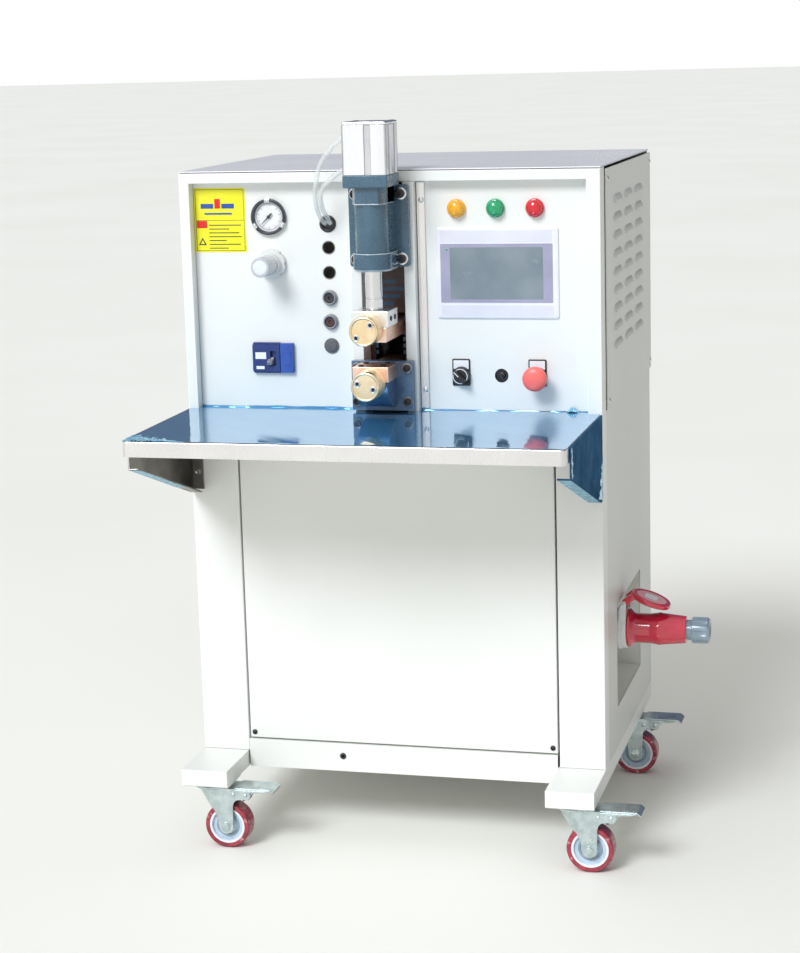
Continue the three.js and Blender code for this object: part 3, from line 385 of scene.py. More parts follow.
    # a lighter red on the lid's face than on its rim
    add("pink", "lid_face_light_red", (0.86, 0.36, 0.40), (0.92, 0.48, 0.51), (0.3, 0.42), cloud=30, bump=0.12)
    add("stop", "stop_red", (0.96, 0.15, 0.13), (1.0, 0.20, 0.17), (0.26, 0.38), bump=0.12)
    add("grey", "light_grey_plastic", (0.68, 0.69, 0.68), (0.77, 0.78, 0.77), (0.26, 0.4), cloud=35,
        bump=0.15)
    add("white_plastic", "white_plastic", (0.83, 0.84, 0.83), (0.89, 0.90, 0.89), (0.2, 0.34), cloud=35,
        bump=0.1, **gloss)
    add("mid_grey", "grey_plastic", (0.20, 0.21, 0.23), (0.30, 0.31, 0.33), (0.3, 0.45))
    add("cap_grey", "cap_grey", (0.085, 0.085, 0.095), (0.14, 0.14, 0.15), (0.3, 0.45))
    add("deep_red", "deep_red", (0.035, 0.004, 0.007), (0.075, 0.010, 0.014), (0.2, 0.35), cloud=80,
        bump=0.15, **gloss)
    add("gland", "gland_grey", (0.20, 0.28, 0.34), (0.30, 0.39, 0.45), (0.26, 0.4), cloud=40, grain=700,
        **gloss)
    add("blue", "breaker_blue", (0.010, 0.028, 0.145), (0.019, 0.046, 0.20), (0.28, 0.42), cloud=50,
        grain=1000, bump=0.15)
    add("light_blue", "breaker_light_blue", (0.020, 0.072, 0.34), (0.030, 0.098, 0.41), (0.28, 0.42),
        cloud=50, grain=1000, bump=0.15)
    add("bezel", "screen_bezel", (0.80, 0.80, 0.86), (0.86, 0.86, 0.91), (0.24, 0.36), cloud=20, bump=0.12)
    add("lilac", "screen_strip", (0.70, 0.70, 0.78), (0.77, 0.77, 0.84), (0.2, 0.32), cloud=20, bump=0.1)
    add("lilac_dark", "screen_border", (0.33, 0.32, 0.44), (0.40, 0.39, 0.52), (0.16, 0.26), cloud=20,
        bump=0.08)
    add("glass", "screen_glass", (0.15, 0.20, 0.24), (0.24, 0.29, 0.32), (0.04, 0.10), cloud=14, grain=60,
        bump=0.03, depth=0.0002, marks=((0.32, 0.37, 0.40), 24, 0.34), **gloss)
    add("dial", "dial_white", (0.84, 0.85, 0.88), (0.90, 0.91, 0.93), (0.3, 0.4), bump=0.06)
    add("ink", "printed_ink", (0.02, 0.02, 0.025), (0.05, 0.05, 0.055), (0.4, 0.55), cloud=200, grain=700,
        bump=0.1, depth=0.0002)
    add("label", "yellow_label", (0.86, 0.80, 0.012), (0.93, 0.88, 0.03), (0.26, 0.4), cloud=20, grain=500,
        bump=0.08)
    add("label_red", "label_red", (0.70, 0.01, 0.01), (0.80, 0.02, 0.02), (0.3, 0.4), grain=700, bump=0.1,
        depth=0.0002)
    add("lens_yellow", "lens_yellow", (0.86, 0.36, 0.006), (0.95, 0.50, 0.012), (0.06, 0.16), cloud=90,
        grain=300, depth=0.0002, **gloss)
    add("lens_green", "lens_green", (0.0, 0.27, 0.095), (0.006, 0.40, 0.15), (0.06, 0.16), cloud=90,
        grain=300, depth=0.0002, **gloss)
    add("lens_red", "lens_red", (0.55, 0.004, 0.012), (0.74, 0.01, 0.025), (0.06, 0.16), cloud=90,
        grain=300, depth=0.0002, **gloss)
    add("knob", "clear_grey_knob", (0.46, 0.47, 0.51), (0.60, 0.61, 0.65), (0.12, 0.24), cloud=45,
        grain=500, bump=0.15, **gloss)
    add("tube", "clear_tube", (0.80, 0.83, 0.82), (0.90, 0.92, 0.91), (0.05, 0.14), cloud=40, grain=200,
        bump=0.06, depth=0.0002, Alpha=0.42, **gloss)
    add("bare_edge", "bare_edge", (0.50, 0.20, 0.10), (0.72, 0.40, 0.26), (0.5, 0.7), cloud=90, grain=400,
        bump=0.3, depth=0.0003)


# ---- shapes ---------------------------------------------------------------------------------
# Every shape is a bmesh in the cabinet's own frame. A lathe profile is (radius, distance along
# the axis); an outline is (x, y) for axis z, (x, z) for axis y and (y, z) for axis x.

AXES = {
    "z": Matrix.Identity(4),
    "y": Matrix(((1, 0, 0, 0), (0, 0, 1, 0), (0, 1, 0, 0), (0, 0, 0, 1))),
    "x": Matrix(((0, 0, 1, 0), (1, 0, 0, 0), (0, 1, 0, 0), (0, 0, 0, 1))),
}


def soften(shape, width, segments=3, pick=None, steeper=48):
    """Rounds the edges that are steeper than that many degrees, or those of them that pick takes."""
    if width:
        edges = [
            edge for edge in shape.edges
            if len(edge.link_faces) == 2 and edge.calc_face_angle(0) > math.radians(steeper)
            and (pick is None or pick(edge))
        ]
        bmesh.ops.bevel(shape, geom=edges, offset=width, offset_type="OFFSET", segments=segments,
                        profile=0.5, affect="EDGES", clamp_overlap=True)
    return shape


def lathe(profile, axis, at=(0, 0, 0), segments=48, soft=0.0, warp=None):
    """A solid of revolution; a profile that stays off the axis closes on itself.
    warp(index, angle) scales the radius of that profile point at that angle."""
    shape = bmesh.new()
    rings = []
    for index, (radius, along) in enumerate(profile):
        if radius == 0:
            rings.append([shape.verts.new((0, 0, along))])
            continue
        ring = []
        for k in range(segments):
            angle = 2 * math.pi * k / segments
            reach = radius * (warp(index, angle) if warp else 1)
            ring.append(shape.verts.new((reach * math.cos(angle), reach * math.sin(angle), along)))
        rings.append(ring)
    pairs = list(zip(rings, rings[1:]))
    if len(rings[0]) > 1:
        pairs.append((rings[-1], rings[0]))
    for low, high in pairs:
        for k in range(segments):
            corners = [low[k % len(low)], low[(k + 1) % segments % len(low)],
                       high[(k + 1) % segments % len(high)], high[k % len(high)]]
            shape.faces.new(list(dict.fromkeys(corners)))
    bmesh.ops.recalc_face_normals(shape, faces=shape.faces)
    soften(shape, soft, pick=lambda edge: abs(edge.verts[0].co.z - edge.verts[1].co.z) < 1e-4)
    shape.transform(Matrix.Translation(at) @ AXES[axis])
    return shape


def prism(outline, axis, low, high, soft=0.0, holes=(), segments=2):
    """An outline, with holes if any, from low to high along the axis."""
    shape = bmesh.new()
    loops = [[shape.verts.new((u, v, low)) for u, v in loop] for loop in (outline, *holes)]
    if holes:
        edges = [shape.edges.new((loop[k - 1], loop[k])) for loop in loops for k in range(len(loop))]
        filled = bmesh.ops.triangle_fill(shape, use_beauty=True, edges=edges)["geom"]
        faces = [item for item in filled if isinstance(item, bmesh.types.BMFace)]
    else:
        faces = [shape.faces.new(loops[0])]
    raised = bmesh.ops.extrude_face_region(shape, geom=faces, use_keep_orig=True)["geom"]
    verts = [item for item in raised if isinstance(item, bmesh.types.BMVert)]
    bmesh.ops.translate(shape, verts=verts, vec=(0, 0, high - low))
    bmesh.ops.recalc_face_normals(shape, faces=shape.faces)
    soften(shape, soft, segments)
    shape.transform(AXES[axis])
    return shape


def block(low, high, soft=0.6, segments=3):
    outline = [(low[0], low[1]), (high[0], low[1]), (high[0], high[1]), (low[0], high[1])]
    shape = prism(outline, "z", low[2], high[2])
    return soften(shape, soft, segments)


def merged(*shapes):
    """All the shapes as one."""
    whole = bmesh.new()
    for shape in shapes:
        mesh = bpy.data.meshes.new("part")
        shape.to_mesh(mesh)
        shape.free()
        whole.from_mesh(mesh)
        bpy.data.meshes.remove(mesh)
    return whole


def turned(shape, degrees, axis, about=(0, 0, 0)):
    """The shape turned around an axis through a point."""
    spin = Matrix.Rotation(math.radians(degrees), 4, axis.upper())
    shape.transform(Matrix.Translation(about) @ spin @ Matrix.Translation(-Vector(about)))
    return shape


def shifted(shape, x=0.0, y=0.0, z=0.0):
    shape.transform(Matrix.Translation((x, y, z)))
    return shape


def arc(u, v, radius, start, end, steps):
    """Points on a circle, angles in degrees."""
    angles = [math.radians(start + (end - start) * k / steps) for k in range(steps + 1)]
    return [(u + radius * math.cos(a), v + radius * math.sin(a)) for a in angles]


def circle(u, v, radius, steps=40):
    return arc(u, v, radius, 0, 360, steps)[:-1]


def rounded(u0, u1, v0, v1, radius, steps=5):
    """A rectangle with rounded corners."""
    corners = [(u1 - radius, v1 - radius, 0), (u0 + radius, v1 - radius, 90),
               (u0 + radius, v0 + radius, 180), (u1 - radius, v0 + radius, 270)]
    return [point for u, v, start in corners for point in arc(u, v, radius, start, start + 90, steps)]


def hexagon(angle):
    """Radius of a hexagon at an angle, against that of the circle inside it."""
    return 1 / math.cos((angle + math.pi / 6) % (math.pi / 3) - math.pi / 6)


def piece(name, shape, *finishes, body="cabinet", slot=None, replaces=(), paint=None):
    """Makes a shape, or a list of them, a piece that rides on a body. slot is not used. paint gives
    the finish number of a face from its middle and normal, in the cabinet's frame."""
    if isinstance(shape, list):
        shape = merged(*shape)
    bmesh.ops.recalc_face_normals(shape, faces=shape.faces)
    if paint:
        for face in shape.faces:
            face.material_index = paint(face.calc_center_median(), face.normal)
    shape.transform(TO_PART)
    mesh = bpy.data.meshes.new(name)
    shape.to_mesh(mesh)
    shape.free()
    mesh.polygons.foreach_set("use_smooth", [True] * len(mesh.polygons))
    mesh.set_sharp_from_angle(angle=math.radians(50))
    for finish in finishes:
        mesh.materials.append(FINISH[finish])
    made = bpy.data.objects.new(name, mesh)
    bpy.context.scene.collection.objects.link(made)
    weighted = made.modifiers.new("weighted", "WEIGHTED_NORMAL")
    weighted.keep_sharp = True
    weighted.weight = 100
    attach(made, body)
    if replaces:
        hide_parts(*replaces)
    return made


def refined(node, finish, body="cabinet", slot=None, fold=0.0, soft=0.5, longer=0, on_fold=None):
    """A finer copy of a CAD node: its folds get a bend radius, its other edges a small one. Folds are
    the edges longer than that, or those that on_fold takes."""
    shape = bmesh.new()
    shape.from_mesh(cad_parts[node].data)
    shape.transform(TO_PART.inverted())
    bmesh.ops.remove_doubles(shape, verts=shape.verts, dist=0.005)
    bmesh.ops.dissolve_limit(shape, angle_limit=math.radians(0.5), verts=shape.verts, edges=shape.edges)
    soften(shape, fold, 4, pick=on_fold or (lambda edge: edge.calc_length() > longer))
    soften(shape, soft, 2)
    return piece(f"{node}_skin", shape, finish, body=body, slot=slot, replaces=[node])


# ---- small fittings -------------------------------------------------------------------------

def screw(at, radius, height, axis="y", facing=-1, socket=0.52):
    """A cap screw that stands that far proud of at, with a hexagon socket."""
    hole = radius * socket
    profile = [(0, height * 0.35), (hole, height * 0.35), (hole, height), (radius * 0.86, height),
               (radius, height * 0.82), (radius, -1), (0, -1)]
    along = [(r, facing * h) for r, h in profile]
    return lathe(along, axis, at, 30, warp=lambda index, angle: hexagon(angle) if index in (1, 2) else 1)


def button(at, radius, height, axis="y", facing=-1):
    """A low domed head with a hexagon socket."""
    hole = radius * 0.45
    profile = [(0, height * 0.3), (hole, height * 0.3), (hole, height), (radius * 0.7, height * 0.9),
               (radius * 0.93, height * 0.5), (radius, 0), (radius, -1), (0, -1)]
    along = [(r, facing * h) for r, h in profile]
    return lathe(along, axis, at, 30, warp=lambda index, angle: hexagon(angle) if index in (1, 2) else 1)


def washer(at, radius, height, axis="y", facing=-1):
    profile = [(0, -0.5), (radius, -0.5), (radius, height * 0.7), (radius * 0.94, height), (0, height)]
    return lathe([(r, facing * h) for r, h in profile], axis, at, 40)


def hex_nut(at, across, height, axis="y", facing=-1):
    half = across / 2
    profile = [(0, 0), (half, 0), (half, height * 0.8), (half * 0.86, height), (0, height)]
    along = [(r, facing * h) for r, h in profile]
    return lathe(along, axis, at, 36, warp=lambda index, angle: hexagon(angle) if index in (1, 2) else 1)


def cloth_like(columns, rows, point):
    """A sheet of quads; point(u, v) gives a place for u and v from 0 to 1."""
    shape = bmesh.new()
    grid = [[shape.verts.new(point(i / columns, j / rows)) for i in range(columns + 1)]
            for j in range(rows + 1)]
    for j in range(rows):
        for i in range(columns):
            shape.faces.new((grid[j][i], grid[j][i + 1], grid[j + 1][i + 1], grid[j + 1][i]))
    return shape


def thicken(made, thickness):
    solid = made.modifiers.new("thickness", "SOLIDIFY")
    solid.thickness = thickness / 1000
    solid.offset = 0
    made.modifiers.move(len(made.modifiers) - 1, 0)
    return made


def sheet(name, shape, finish):
    """A thin film as a piece of its own."""
    thicken(piece(name, shape, finish), FILM_THICKNESS)


def ripple(u, v=0.0):
    """A smooth uneven wave between about -1 and 1."""
    waves = math.sin(9.1 * u + 4 * v) + math.sin(23.7 * u + 1.3 - 7 * v) + 0.6 * math.sin(51.3 * u + 2.1)
    return waves / 2.6


# ---- base and cabinet -----------------------------------------------------------------------

def build_base():
    for side in ("left", "right"):
        refined(f"{side}_foot_rail", "paint", fold=2.2, soft=0.6, longer=70)
    refined("base_pan", "paint", soft=0.5)
    grommet = lathe([(2.2, 1.5), (2.2, -2.2), (4.6, -2.2), (5.4, -1.2), (5.4, 0.1), (3.9, 0.1), (3.9, 1.5)],
                    "y", (-101, 0, 142), 32, soft=0.3)
    piece("sill_grommet", grommet, "black")


def build_frame():
    def on_fold(edge):
        return all(vert.co.y < 0.05 for vert in edge.verts) and edge.calc_length() > 60

    refined("front_frame", "paint", fold=1.8, soft=0.4, on_fold=on_fold)
    # the lower sides and the rear panel take the darker painted-shade copy of the powder coat
    for side in ("left", "right"):
        refined(f"{side}_lower_side", "shaded_side_paint", soft=0.7)
    refined("rear_panel", "shaded_side_paint", soft=0.6)
    refined("top_cover", "top_paint", soft=1.2)
    refined("lower_front_panel", "paint", fold=1.8, soft=0.4, on_fold=on_fold)
    corners = [(x, z) for x in (DOOR["left"] + 8, DOOR["right"] - 8)
               for z in (DOOR["bottom"] + 9.5, DOOR["top"] - 9.5)]
    screws = merged(*[button((x, 0, z), 4.6, 2.6) for x, z in corners])
    piece("lower_front_screws", screws, "dark_steel", slot="black_plastic")
    back = [(x, z) for x in (-325, 325) for z in (190, 460, 730, 1000)]
    rear_screws = merged(*[button((x, DEPTH - 0.3, z), 4.6, 0.28, facing=1) for x, z in back])
    piece("rear_panel_screws", rear_screws, "bright")


def louvre_hood(side, y, z):
    """One pressed hood, open below: its section grows from nothing at both ends."""
    face = side * (HALF + 3)
    half = LOUVRES["length"] / 2
    section = [(-0.6, -6.0), (4.9, -6.0), (5.0, -5.0), (4.5, -2.6), (3.4, 0.6), (1.9, 3.6), (-0.6, 6.2)]
    stations = [0.0, 0.03, 0.07, 0.12, 0.18, 0.25]
    stations += [1 - s for s in reversed(stations)]
    shape = bmesh.new()
    loops = []
    for station in stations:
        swell = min(station, 1 - station) / 0.25
        size = math.sin(min(swell, 1) * math.pi / 2) ** 0.55 if swell > 0 else 0.02
        across = y - half + 2 * half * station
        loops.append([shape.verts.new((face + side * (-0.6 + (x + 0.6) * size), across,
                                       z - 6 + (h + 6) * size)) for x, h in section])
    for low, high in zip(loops, loops[1:]):
        for k in range(len(section)):
            shape.faces.new((low[k - 1], low[k], high[k], high[k - 1]))
    shape.faces.new(loops[0])
    shape.faces.new(loops[-1])
    return shape


def build_louvres():
    rows = [LOUVRES["bottom"] + k * LOUVRES["pitch"] for k in range(LOUVRES["rows"])]
    for side, name in ((-1, "left"), (1, "right")):
        face = HALF + 0.3
        x = sorted((side * face, side * (face + 2.7)))
        plate = block((x[0], 40, TABLE["top"]), (x[1], DEPTH, TOP - 6), 1.0)
        hoods = [louvre_hood(side, y, z) for y in LOUVRES["columns"] for z in rows]
        # the louvre panels take the darker painted-shade copy of the powder coat
        piece(f"{name}_louvre_skin", [plate, *hoods], "shaded_side_paint", replaces=[f"{name}_louvre_panel"])
        # painted shade: thin near-black strips that close the open underside of each hood
        slits = [
            block((min(side * 353, side * 356.6), y - 38, z - 6.25),
                  (max(side * 353, side * 356.6), y + 38, z - 5.9), 0)
            for y in LOUVRES["columns"] for z in rows
        ]
        piece(f"{name}_louvre_slit_shade", slits, "hole", slot="white_paint")
        corners = [(y, z) for y in (52, DEPTH - 12) for z in (TABLE["top"] + 14, TOP - 22)]
        heads = [button((side * (HALF + 3), y, z), 4.4, 2.0, "x", side) for y, z in corners]
        piece(f"{name}_cover_screws", heads, "bright")


# ---- the two panels of the recess -----------------------------------------------------------

def build_panels():
    back = PANEL + 2
    column = [circle(COLUMN_X, z, 12.5 if k == 0 else 10.5) for k, z in enumerate(COLUMN_Z)]
    breaker = rounded(BREAKER["left"] + 3, BREAKER["right"] - 3, BREAKER["bottom"] + 3, BREAKER["top"] - 3, 1)
    left = prism(rounded(*PANELS["left"], PANELS["bottom"], PANELS["top"], 1), "y", PANEL, back, 0.35,
                 segments=1, holes=[*column, breaker, circle(*GAUGE, 28), circle(*REGULATOR, 16)])
    tube_block = lathe([(0, 22), (15, 22), (15, 52), (0, 52)], "y", (COLUMN_X, 0, COLUMN_Z[0]), 32)
    piece("instrument_panel_skin", left, "paint")
    piece("tube_block", tube_block, "black", replaces=["instrument_panel"])

    switches = [circle(x, SWITCH_Z, SWITCH_HOLE) for x in SWITCH_X.values()]
    lamps = [circle(x, LAMP_Z, SWITCH_HOLE) for x in LAMPS.values()]
    half_width, half_height = SCREEN["width"] / 2 - 4, SCREEN["height"] / 2 - 4
    window = rounded(SCREEN["x"] - half_width, SCREEN["x"] + half_width, SCREEN["z"] - half_height,
                     SCREEN["z"] + half_height, 1)
    right = prism(rounded(*PANELS["right"], PANELS["bottom"], PANELS["top"], 1), "y", PANEL, back, 0.35,
                  segments=1, holes=[*switches, *lamps, window])
    piece("control_panel_skin", right, "paint", replaces=["control_panel"])
    strip = merged(block((50.6, 16.6, 742), (62, 19.9, 1109), 0.7),
                   block((49.2, 14.4, 742), (51.4, 19.9, 1109), 0.7))
    piece("rail_cover_strip", strip, "steel")
    heads = merged(*[button((56.6, 16.6, z), 4.6, 2.6) for z in (772, 1080.5)])
    piece("rail_cover_screws", heads, "bright")


def build_hole_column():
    """The rubber ring around the air tubes, two open holes, two connectors and a blanking cap."""
    ring = lathe([(9, 21.5), (9, 18.6), (10, 17.4), (12.6, 17.2), (14, 18.6), (14, 19.9), (12.3, 20.2),
                  (12.3, 21.5)], "y", (COLUMN_X, 0, COLUMN_Z[0]), 48)
    piece("tube_grommet", ring, "black")
    for k, z in enumerate(COLUMN_Z[1:3], 2):
        lip = lathe([(9.6, 22.6), (9.6, 19.6), (10.9, 19.4), (11.3, 19.8), (10.4, 20.1), (10.4, 22.6)], "y",
                    (COLUMN_X, 0, z), 48)
        piece(f"hole_lip_{k}", lip, "painted_shade_steel")
    for k, (z, core) in enumerate(zip(COLUMN_Z[3:5], ("ink", "deep_red")), 4):
        body = lathe([(8.6, 19), (8.6, 12.6), (9.2, 11.8), (10.4, 11.6), (11, 12.6), (11, 16.4),
                      (12.2, 16.8), (12.8, 17.6), (12.8, 19.9), (10.3, 20.2), (10.3, 34), (8.6, 34)], "y",
                      (COLUMN_X, 0, z), 48)
        piece(f"connector_{k}", body, "mid_grey")
        heart = lathe([(0, 17), (2.2, 17), (3, 14.8), (7.4, 14.2), (8.5, 15.2), (8.5, 33), (0, 33)], "y",
                      (COLUMN_X, 0, z), 40)
        piece(f"connector_core_{k}", heart, core)
    cap = lathe([(0, 15.4), (8.6, 15.4), (9.4, 16.2), (9.6, 17.2), (12, 17.4), (12.6, 18.2), (12.6, 19.9),
                 (10.3, 20.1), (10.3, 26), (0, 26)], "y", (COLUMN_X, 0, COLUMN_Z[5]), 48)
    piece("blanking_cap", cap, "cap_grey")


def build_label():
    """A plain yellow notice: border, coloured bars, a red block, a warning triangle, unlettered lines."""
    x0, x1, z0, z1 = -332, -242.5, 997, 1103
    front = PANEL - 0.3

    def printed(u0, u1, v0, v1, radius=0.4):
        return prism(rounded(x0 + u0, x0 + u1, z0 + v0, z0 + v1, radius), "y", front - 0.08, front)

    card = prism(rounded(x0, x1, z0, z1, 1.5), "y", front, PANEL - 0.02, 0.1, segments=1)
    piece("notice_card", card, "label")
    border = prism(rounded(x0 + 2.5, x1 - 2.5, z0 + 2.5, z1 - 2.5, 1), "y", front - 0.08, front,
                   holes=[rounded(x0 + 3.3, x1 - 3.3, z0 + 3.3, z1 - 3.3, 0.8)])
    rule = printed(3, 86.5, 52.4, 53.1, 0.1)
    lines = [printed(25, 25 + width, 44 - 6.3 * k, 45.5 - 6.3 * k) for k,
             width in enumerate((56, 35, 52, 56, 30, 54, 33))]
    triangle = [(x0 + 6, z0 + 12), (x0 + 20, z0 + 12), (x0 + 13, z0 + 24.5)]
    inner = [(x0 + 9.2, z0 + 13.9), (x0 + 16.8, z0 + 13.9), (x0 + 13, z0 + 20.6)]
    sign = prism(triangle, "y", front - 0.08, front, holes=[inner])
    piece("notice_lines", [border, rule, sign, *lines], "ink")
    piece("notice_blue_bars", merged(printed(12, 34, 72, 80), printed(48, 70, 72, 80),
                                     printed(18, 66, 62, 65)), "light_blue")
    piece("notice_red_blocks", merged(printed(36, 46, 72, 88), printed(4, 22, 40, 52)), "label_red")


# ---- worktable ------------------------------------------------------------------------------

def build_table():
    def on_fold(edge):
        return all(vert.co.z > TABLE["top"] - 0.1 and vert.co.y < -1 for vert in edge.verts)

    refined("worktable", "steel", fold=1.8, soft=0.35, on_fold=on_fold)

    half, front, back = TABLE["half"] - 0.8, TABLE["front"] + 3, PANEL - 1.2

    def torn_depth(x):
        """How far the film is torn back from the table's front edge, near its left corner."""
        share = max(0.0, 1 - (x + 347) / 100)
        return 52 * share ** 1.3 * (0.85 + 0.2 * math.sin(x * 0.9) + 0.15 * math.sin(x * 0.37))

    def film(u, v):
        x = -half + 2 * half * u
        edge = front + 1.2 * ripple(u) + torn_depth(x)
        y = edge * (1 - v)
        curl = max(0, 1 - (y - edge) / 7) * (0.6 + 0.4 * ripple(5 * u))
        lift = 0.35 + 0.12 * ripple(2 * u + v, u) + 0.5 * curl
        return x, y, TABLE["top"] + lift

    def tongue(u, v):
        """The film's rear part, which turns up along the two panels."""
        x = RECESS["left"] + 1 + (RECESS["right"] - RECESS["left"] - 2) * u
        rise = (2.6 if x < HEAD["x"] - 55 else 1.1) * (1 + 0.45 * ripple(1.7 * u, 1))
        run = back
        along = v * (run + rise)
        if along < run:
            return x, along, TABLE["top"] + 0.35 + 0.12 * ripple(2 * u + 1, u)
        return x, back - 0.25 * (along - run) / 6, TABLE["top"] + 0.35 + along - run

    sheet("table_film", cloth_like(220, 90, film), "film")
    sheet("table_film_edge", cloth_like(260, 16, tongue), "film")

    def scraps(u, v):
        x = -346.6 + 100 * u
        wide = math.sin(math.pi * min(1, 0.12 + u)) ** 0.5
        y = TABLE["front"] + 1.5 + v * (torn_depth(x) + 4 + 3 * math.sin(x * 1.3))
        crease = 0.9 + 1.6 * abs(math.sin(x * 0.5 + 3 * v)) * abs(math.sin(7 * v + x * 0.13)) * wide
        return x, y, TABLE["top"] + crease

    sheet("torn_film_scraps", cloth_like(90, 14, scraps), "torn_film")

    def crumple(u, v):
        x = 291 + 18 * u
        y = 9 + 9.5 * v
        peak = math.sin(math.pi * u) ** 0.7 * math.sin(math.pi * (0.08 + 0.9 * v)) ** 0.8
        return x, y, TABLE["top"] + 0.6 + 10 * peak * (0.7 + 0.3 * math.sin(31 * u + 9 * v))

    sheet("crumpled_film", cloth_like(26, 14, crumple), "torn_film")


def build_brackets():
    """Side gussets; the right one still wears its film, the left one only under its slope."""
    # the left gusset's steel is painted dark, with brown painted reflections, for its shaded inside
    refined("left_bracket", "painted_shade_steel", fold=1.0, soft=0.3, longer=30, slot="stainless")
    # the right gusset's film is painted dark for the dark surroundings it reflects
    refined("right_bracket", "painted_dark_reflection_film", fold=1.0, soft=0.3, longer=30)
    nose, toe = Vector((0, -280, 687)), Vector((0, -14, 597))

    def under(side, share):
        """Film on the underside of the slope, from the nose down."""
        def point(u, v):
            foot = nose.lerp(toe, share * u + 0.01 * ripple(v, 1) * u)
            return side * (328.8 + 20.6 * v), foot.y, foot.z - 0.45 - 0.3 * abs(ripple(3 * u, v))
        return cloth_like(90, 10, point)

    sheet("left_slope_film", under(-1, 0.74), "teal_film")
    sheet("right_slope_film", under(1, 0.97), "teal_film")

    def rear_frill(u, v):
        """Loose film on the outside of the right gusset, beside the cabinet."""
        spread = (1 - u) ** 0.6 * (26 + 9 * math.sin(17 * u) + 5 * math.sin(41 * u))
        x = 350.5 + 0.4 * math.sin(30 * u + 11 * v)
        return x, -3.5 - v * spread - 6 * (1 - u), 601 + 66 * u + 6 * v * (1 - u)

    def front_frill(u, v):
        return 350.5 + 0.4 * math.sin(19 * u + 6 * v), -280.5 + v * (9 + 4 * ripple(1.3 * u, 2)), 689 + 46 * u

    sheet("bracket_film_rear", cloth_like(60, 12, rear_frill), "torn_film")
    sheet("bracket_film_front", cloth_like(50, 6, front_frill), "torn_film")
    bolts = [screw((x, -2.8, z), 5, 5) for x in (-338, 338) for z in (630, 690)]
    piece("bracket_bolts", bolts, "bright")


# ---- weld head ------------------------------------------------------------------------------

def arch(radius, back, steps=28):
    """A half-round front on a block that reaches back, in plan."""
    front = arc(HEAD["x"], HEAD["y"], radius, 180, 360, steps)
    return [(HEAD["x"] - radius, back), *front, (HEAD["x"] + radius, back)]


def build_rails_and_board():
    for side in ("left", "right"):
        refined(f"{side}_head_rail", "paint", fold=1.5, soft=0.5, longer=100)
    refined("insulation_board", "board", soft=0.4)
    front = 44.3
    bars = []
    for z, width in ((1092, 26), (1078, 44), (1066, 34), (946, 40), (934, 52), (922, 46), (910, 36)):
        bars.append(prism(rounded(-36, -36 + width, z - 3.2, z + 3.2, 0.6), "y", front - 0.2, front + 0.05))
    for x0, x1 in ((-33.4, -28.8), (13.4, 20.8)):
        for z in range(826, 892, 11):
            bars.append(prism(rounded(x0, x1, z, z + 6.5, 0.6), "y", front - 0.2, front + 0.05))
    piece("board_bars", bars, "board_print")


def build_housing():
    x, y = HEAD["x"], HEAD["y"]
    plate = prism(rounded(x - 49.5, x + 49.5, HOUSING["bottom"], HOUSING["top"], 4), "y", -12.3, -0.3, 1.2)
    body = prism(arch(27, -8), "z", 982, 1108, 0.8)
    boss = prism([(x - 27, -8), (x - 27, y - 14), (x - 19, y - 29), (x + 19, y - 29), (x + 27, y - 14),
                  (x + 27, -8)], "z", 1080, 1108, 1.6)
    flange = prism(rounded(x - 36.5, x + 36.5, y - 37, y + 37, 2), "z", HOUSING["top"], 1126.7, 1.4)
    piece("head_housing_skin", [plate, body, boss, flange], "casting", replaces=["head_housing"])
    collar = merged(prism(arch(31.5, -8), "z", HOUSING["bottom"], 1003, 2.2, segments=4),
                    prism(arch(29, -8), "z", 974, 977, 0.6))

    # painted highlight: the collar's bevelled rims and its underside take the light rim finish
    def painted_highlight_rims(middle, normal):
        return 1 if 0.2 < abs(normal.z) < 0.98 or middle.z < HOUSING["bottom"] + 1 else 0

    piece("head_collar", collar, "casting", "casting_painted_highlight", paint=painted_highlight_rims)
    # painted highlight: a thin light band around the boss's lower edge
    highlight_band = prism([(x - 27.2, -12.6), (x - 27.2, y - 14), (x - 19.1, y - 29.2), (x + 19.1, y - 29.2),
                  (x + 27.2, y - 14), (x + 27.2, -12.6)], "z", 1079.8, 1081.6, 0.5)
    piece("boss_painted_highlight", highlight_band, "casting_painted_highlight")
    seal = lathe([(14.4, 973.6), (18, 973.6), (20, 975), (20, 980), (14.4, 980)], "z", (x, y, 0), 48)
    piece("rod_seal", seal, "black")
    corners = [(x + sx * 38, z) for sx in (-1, 1) for z in (989, 1093)]
    piece("housing_washers", [washer((bx, -12.3, z), 10, 1.8) for bx, z in corners], "bright")
    piece("housing_bolts", [screw((bx, -14.1, z), 7.2, 7.5) for bx, z in corners], "dark_steel")


def barrel_outline():
    """The square tube seen from above, with chamfered corners and a groove in each face."""
    half, chamfer, deep = 36.5, 3.5, 34.0

    def side(low, high):
        """Down one face of the square, from corner to corner, dipping into its grooves."""
        points = [(-half + chamfer, half)]
        for a, b in zip(low, high):
            points += [(a, half), (a + 0.8, deep), (b - 0.8, deep), (b, half)]
        return points + [(half - chamfer, half)]

    faces = [side([-11], [0]), side([-25, 9], [-9, 25]), side([0], [11]), side([-25, 9], [-9, 25])]
    outline = []
    for turn, points in zip((180, 270, 0, 90), faces):
        spin = Matrix.Rotation(math.radians(-turn), 2)
        outline += [tuple(spin @ Vector(point) + Vector((HEAD["x"], HEAD["y"]))) for point in points]
    return outline


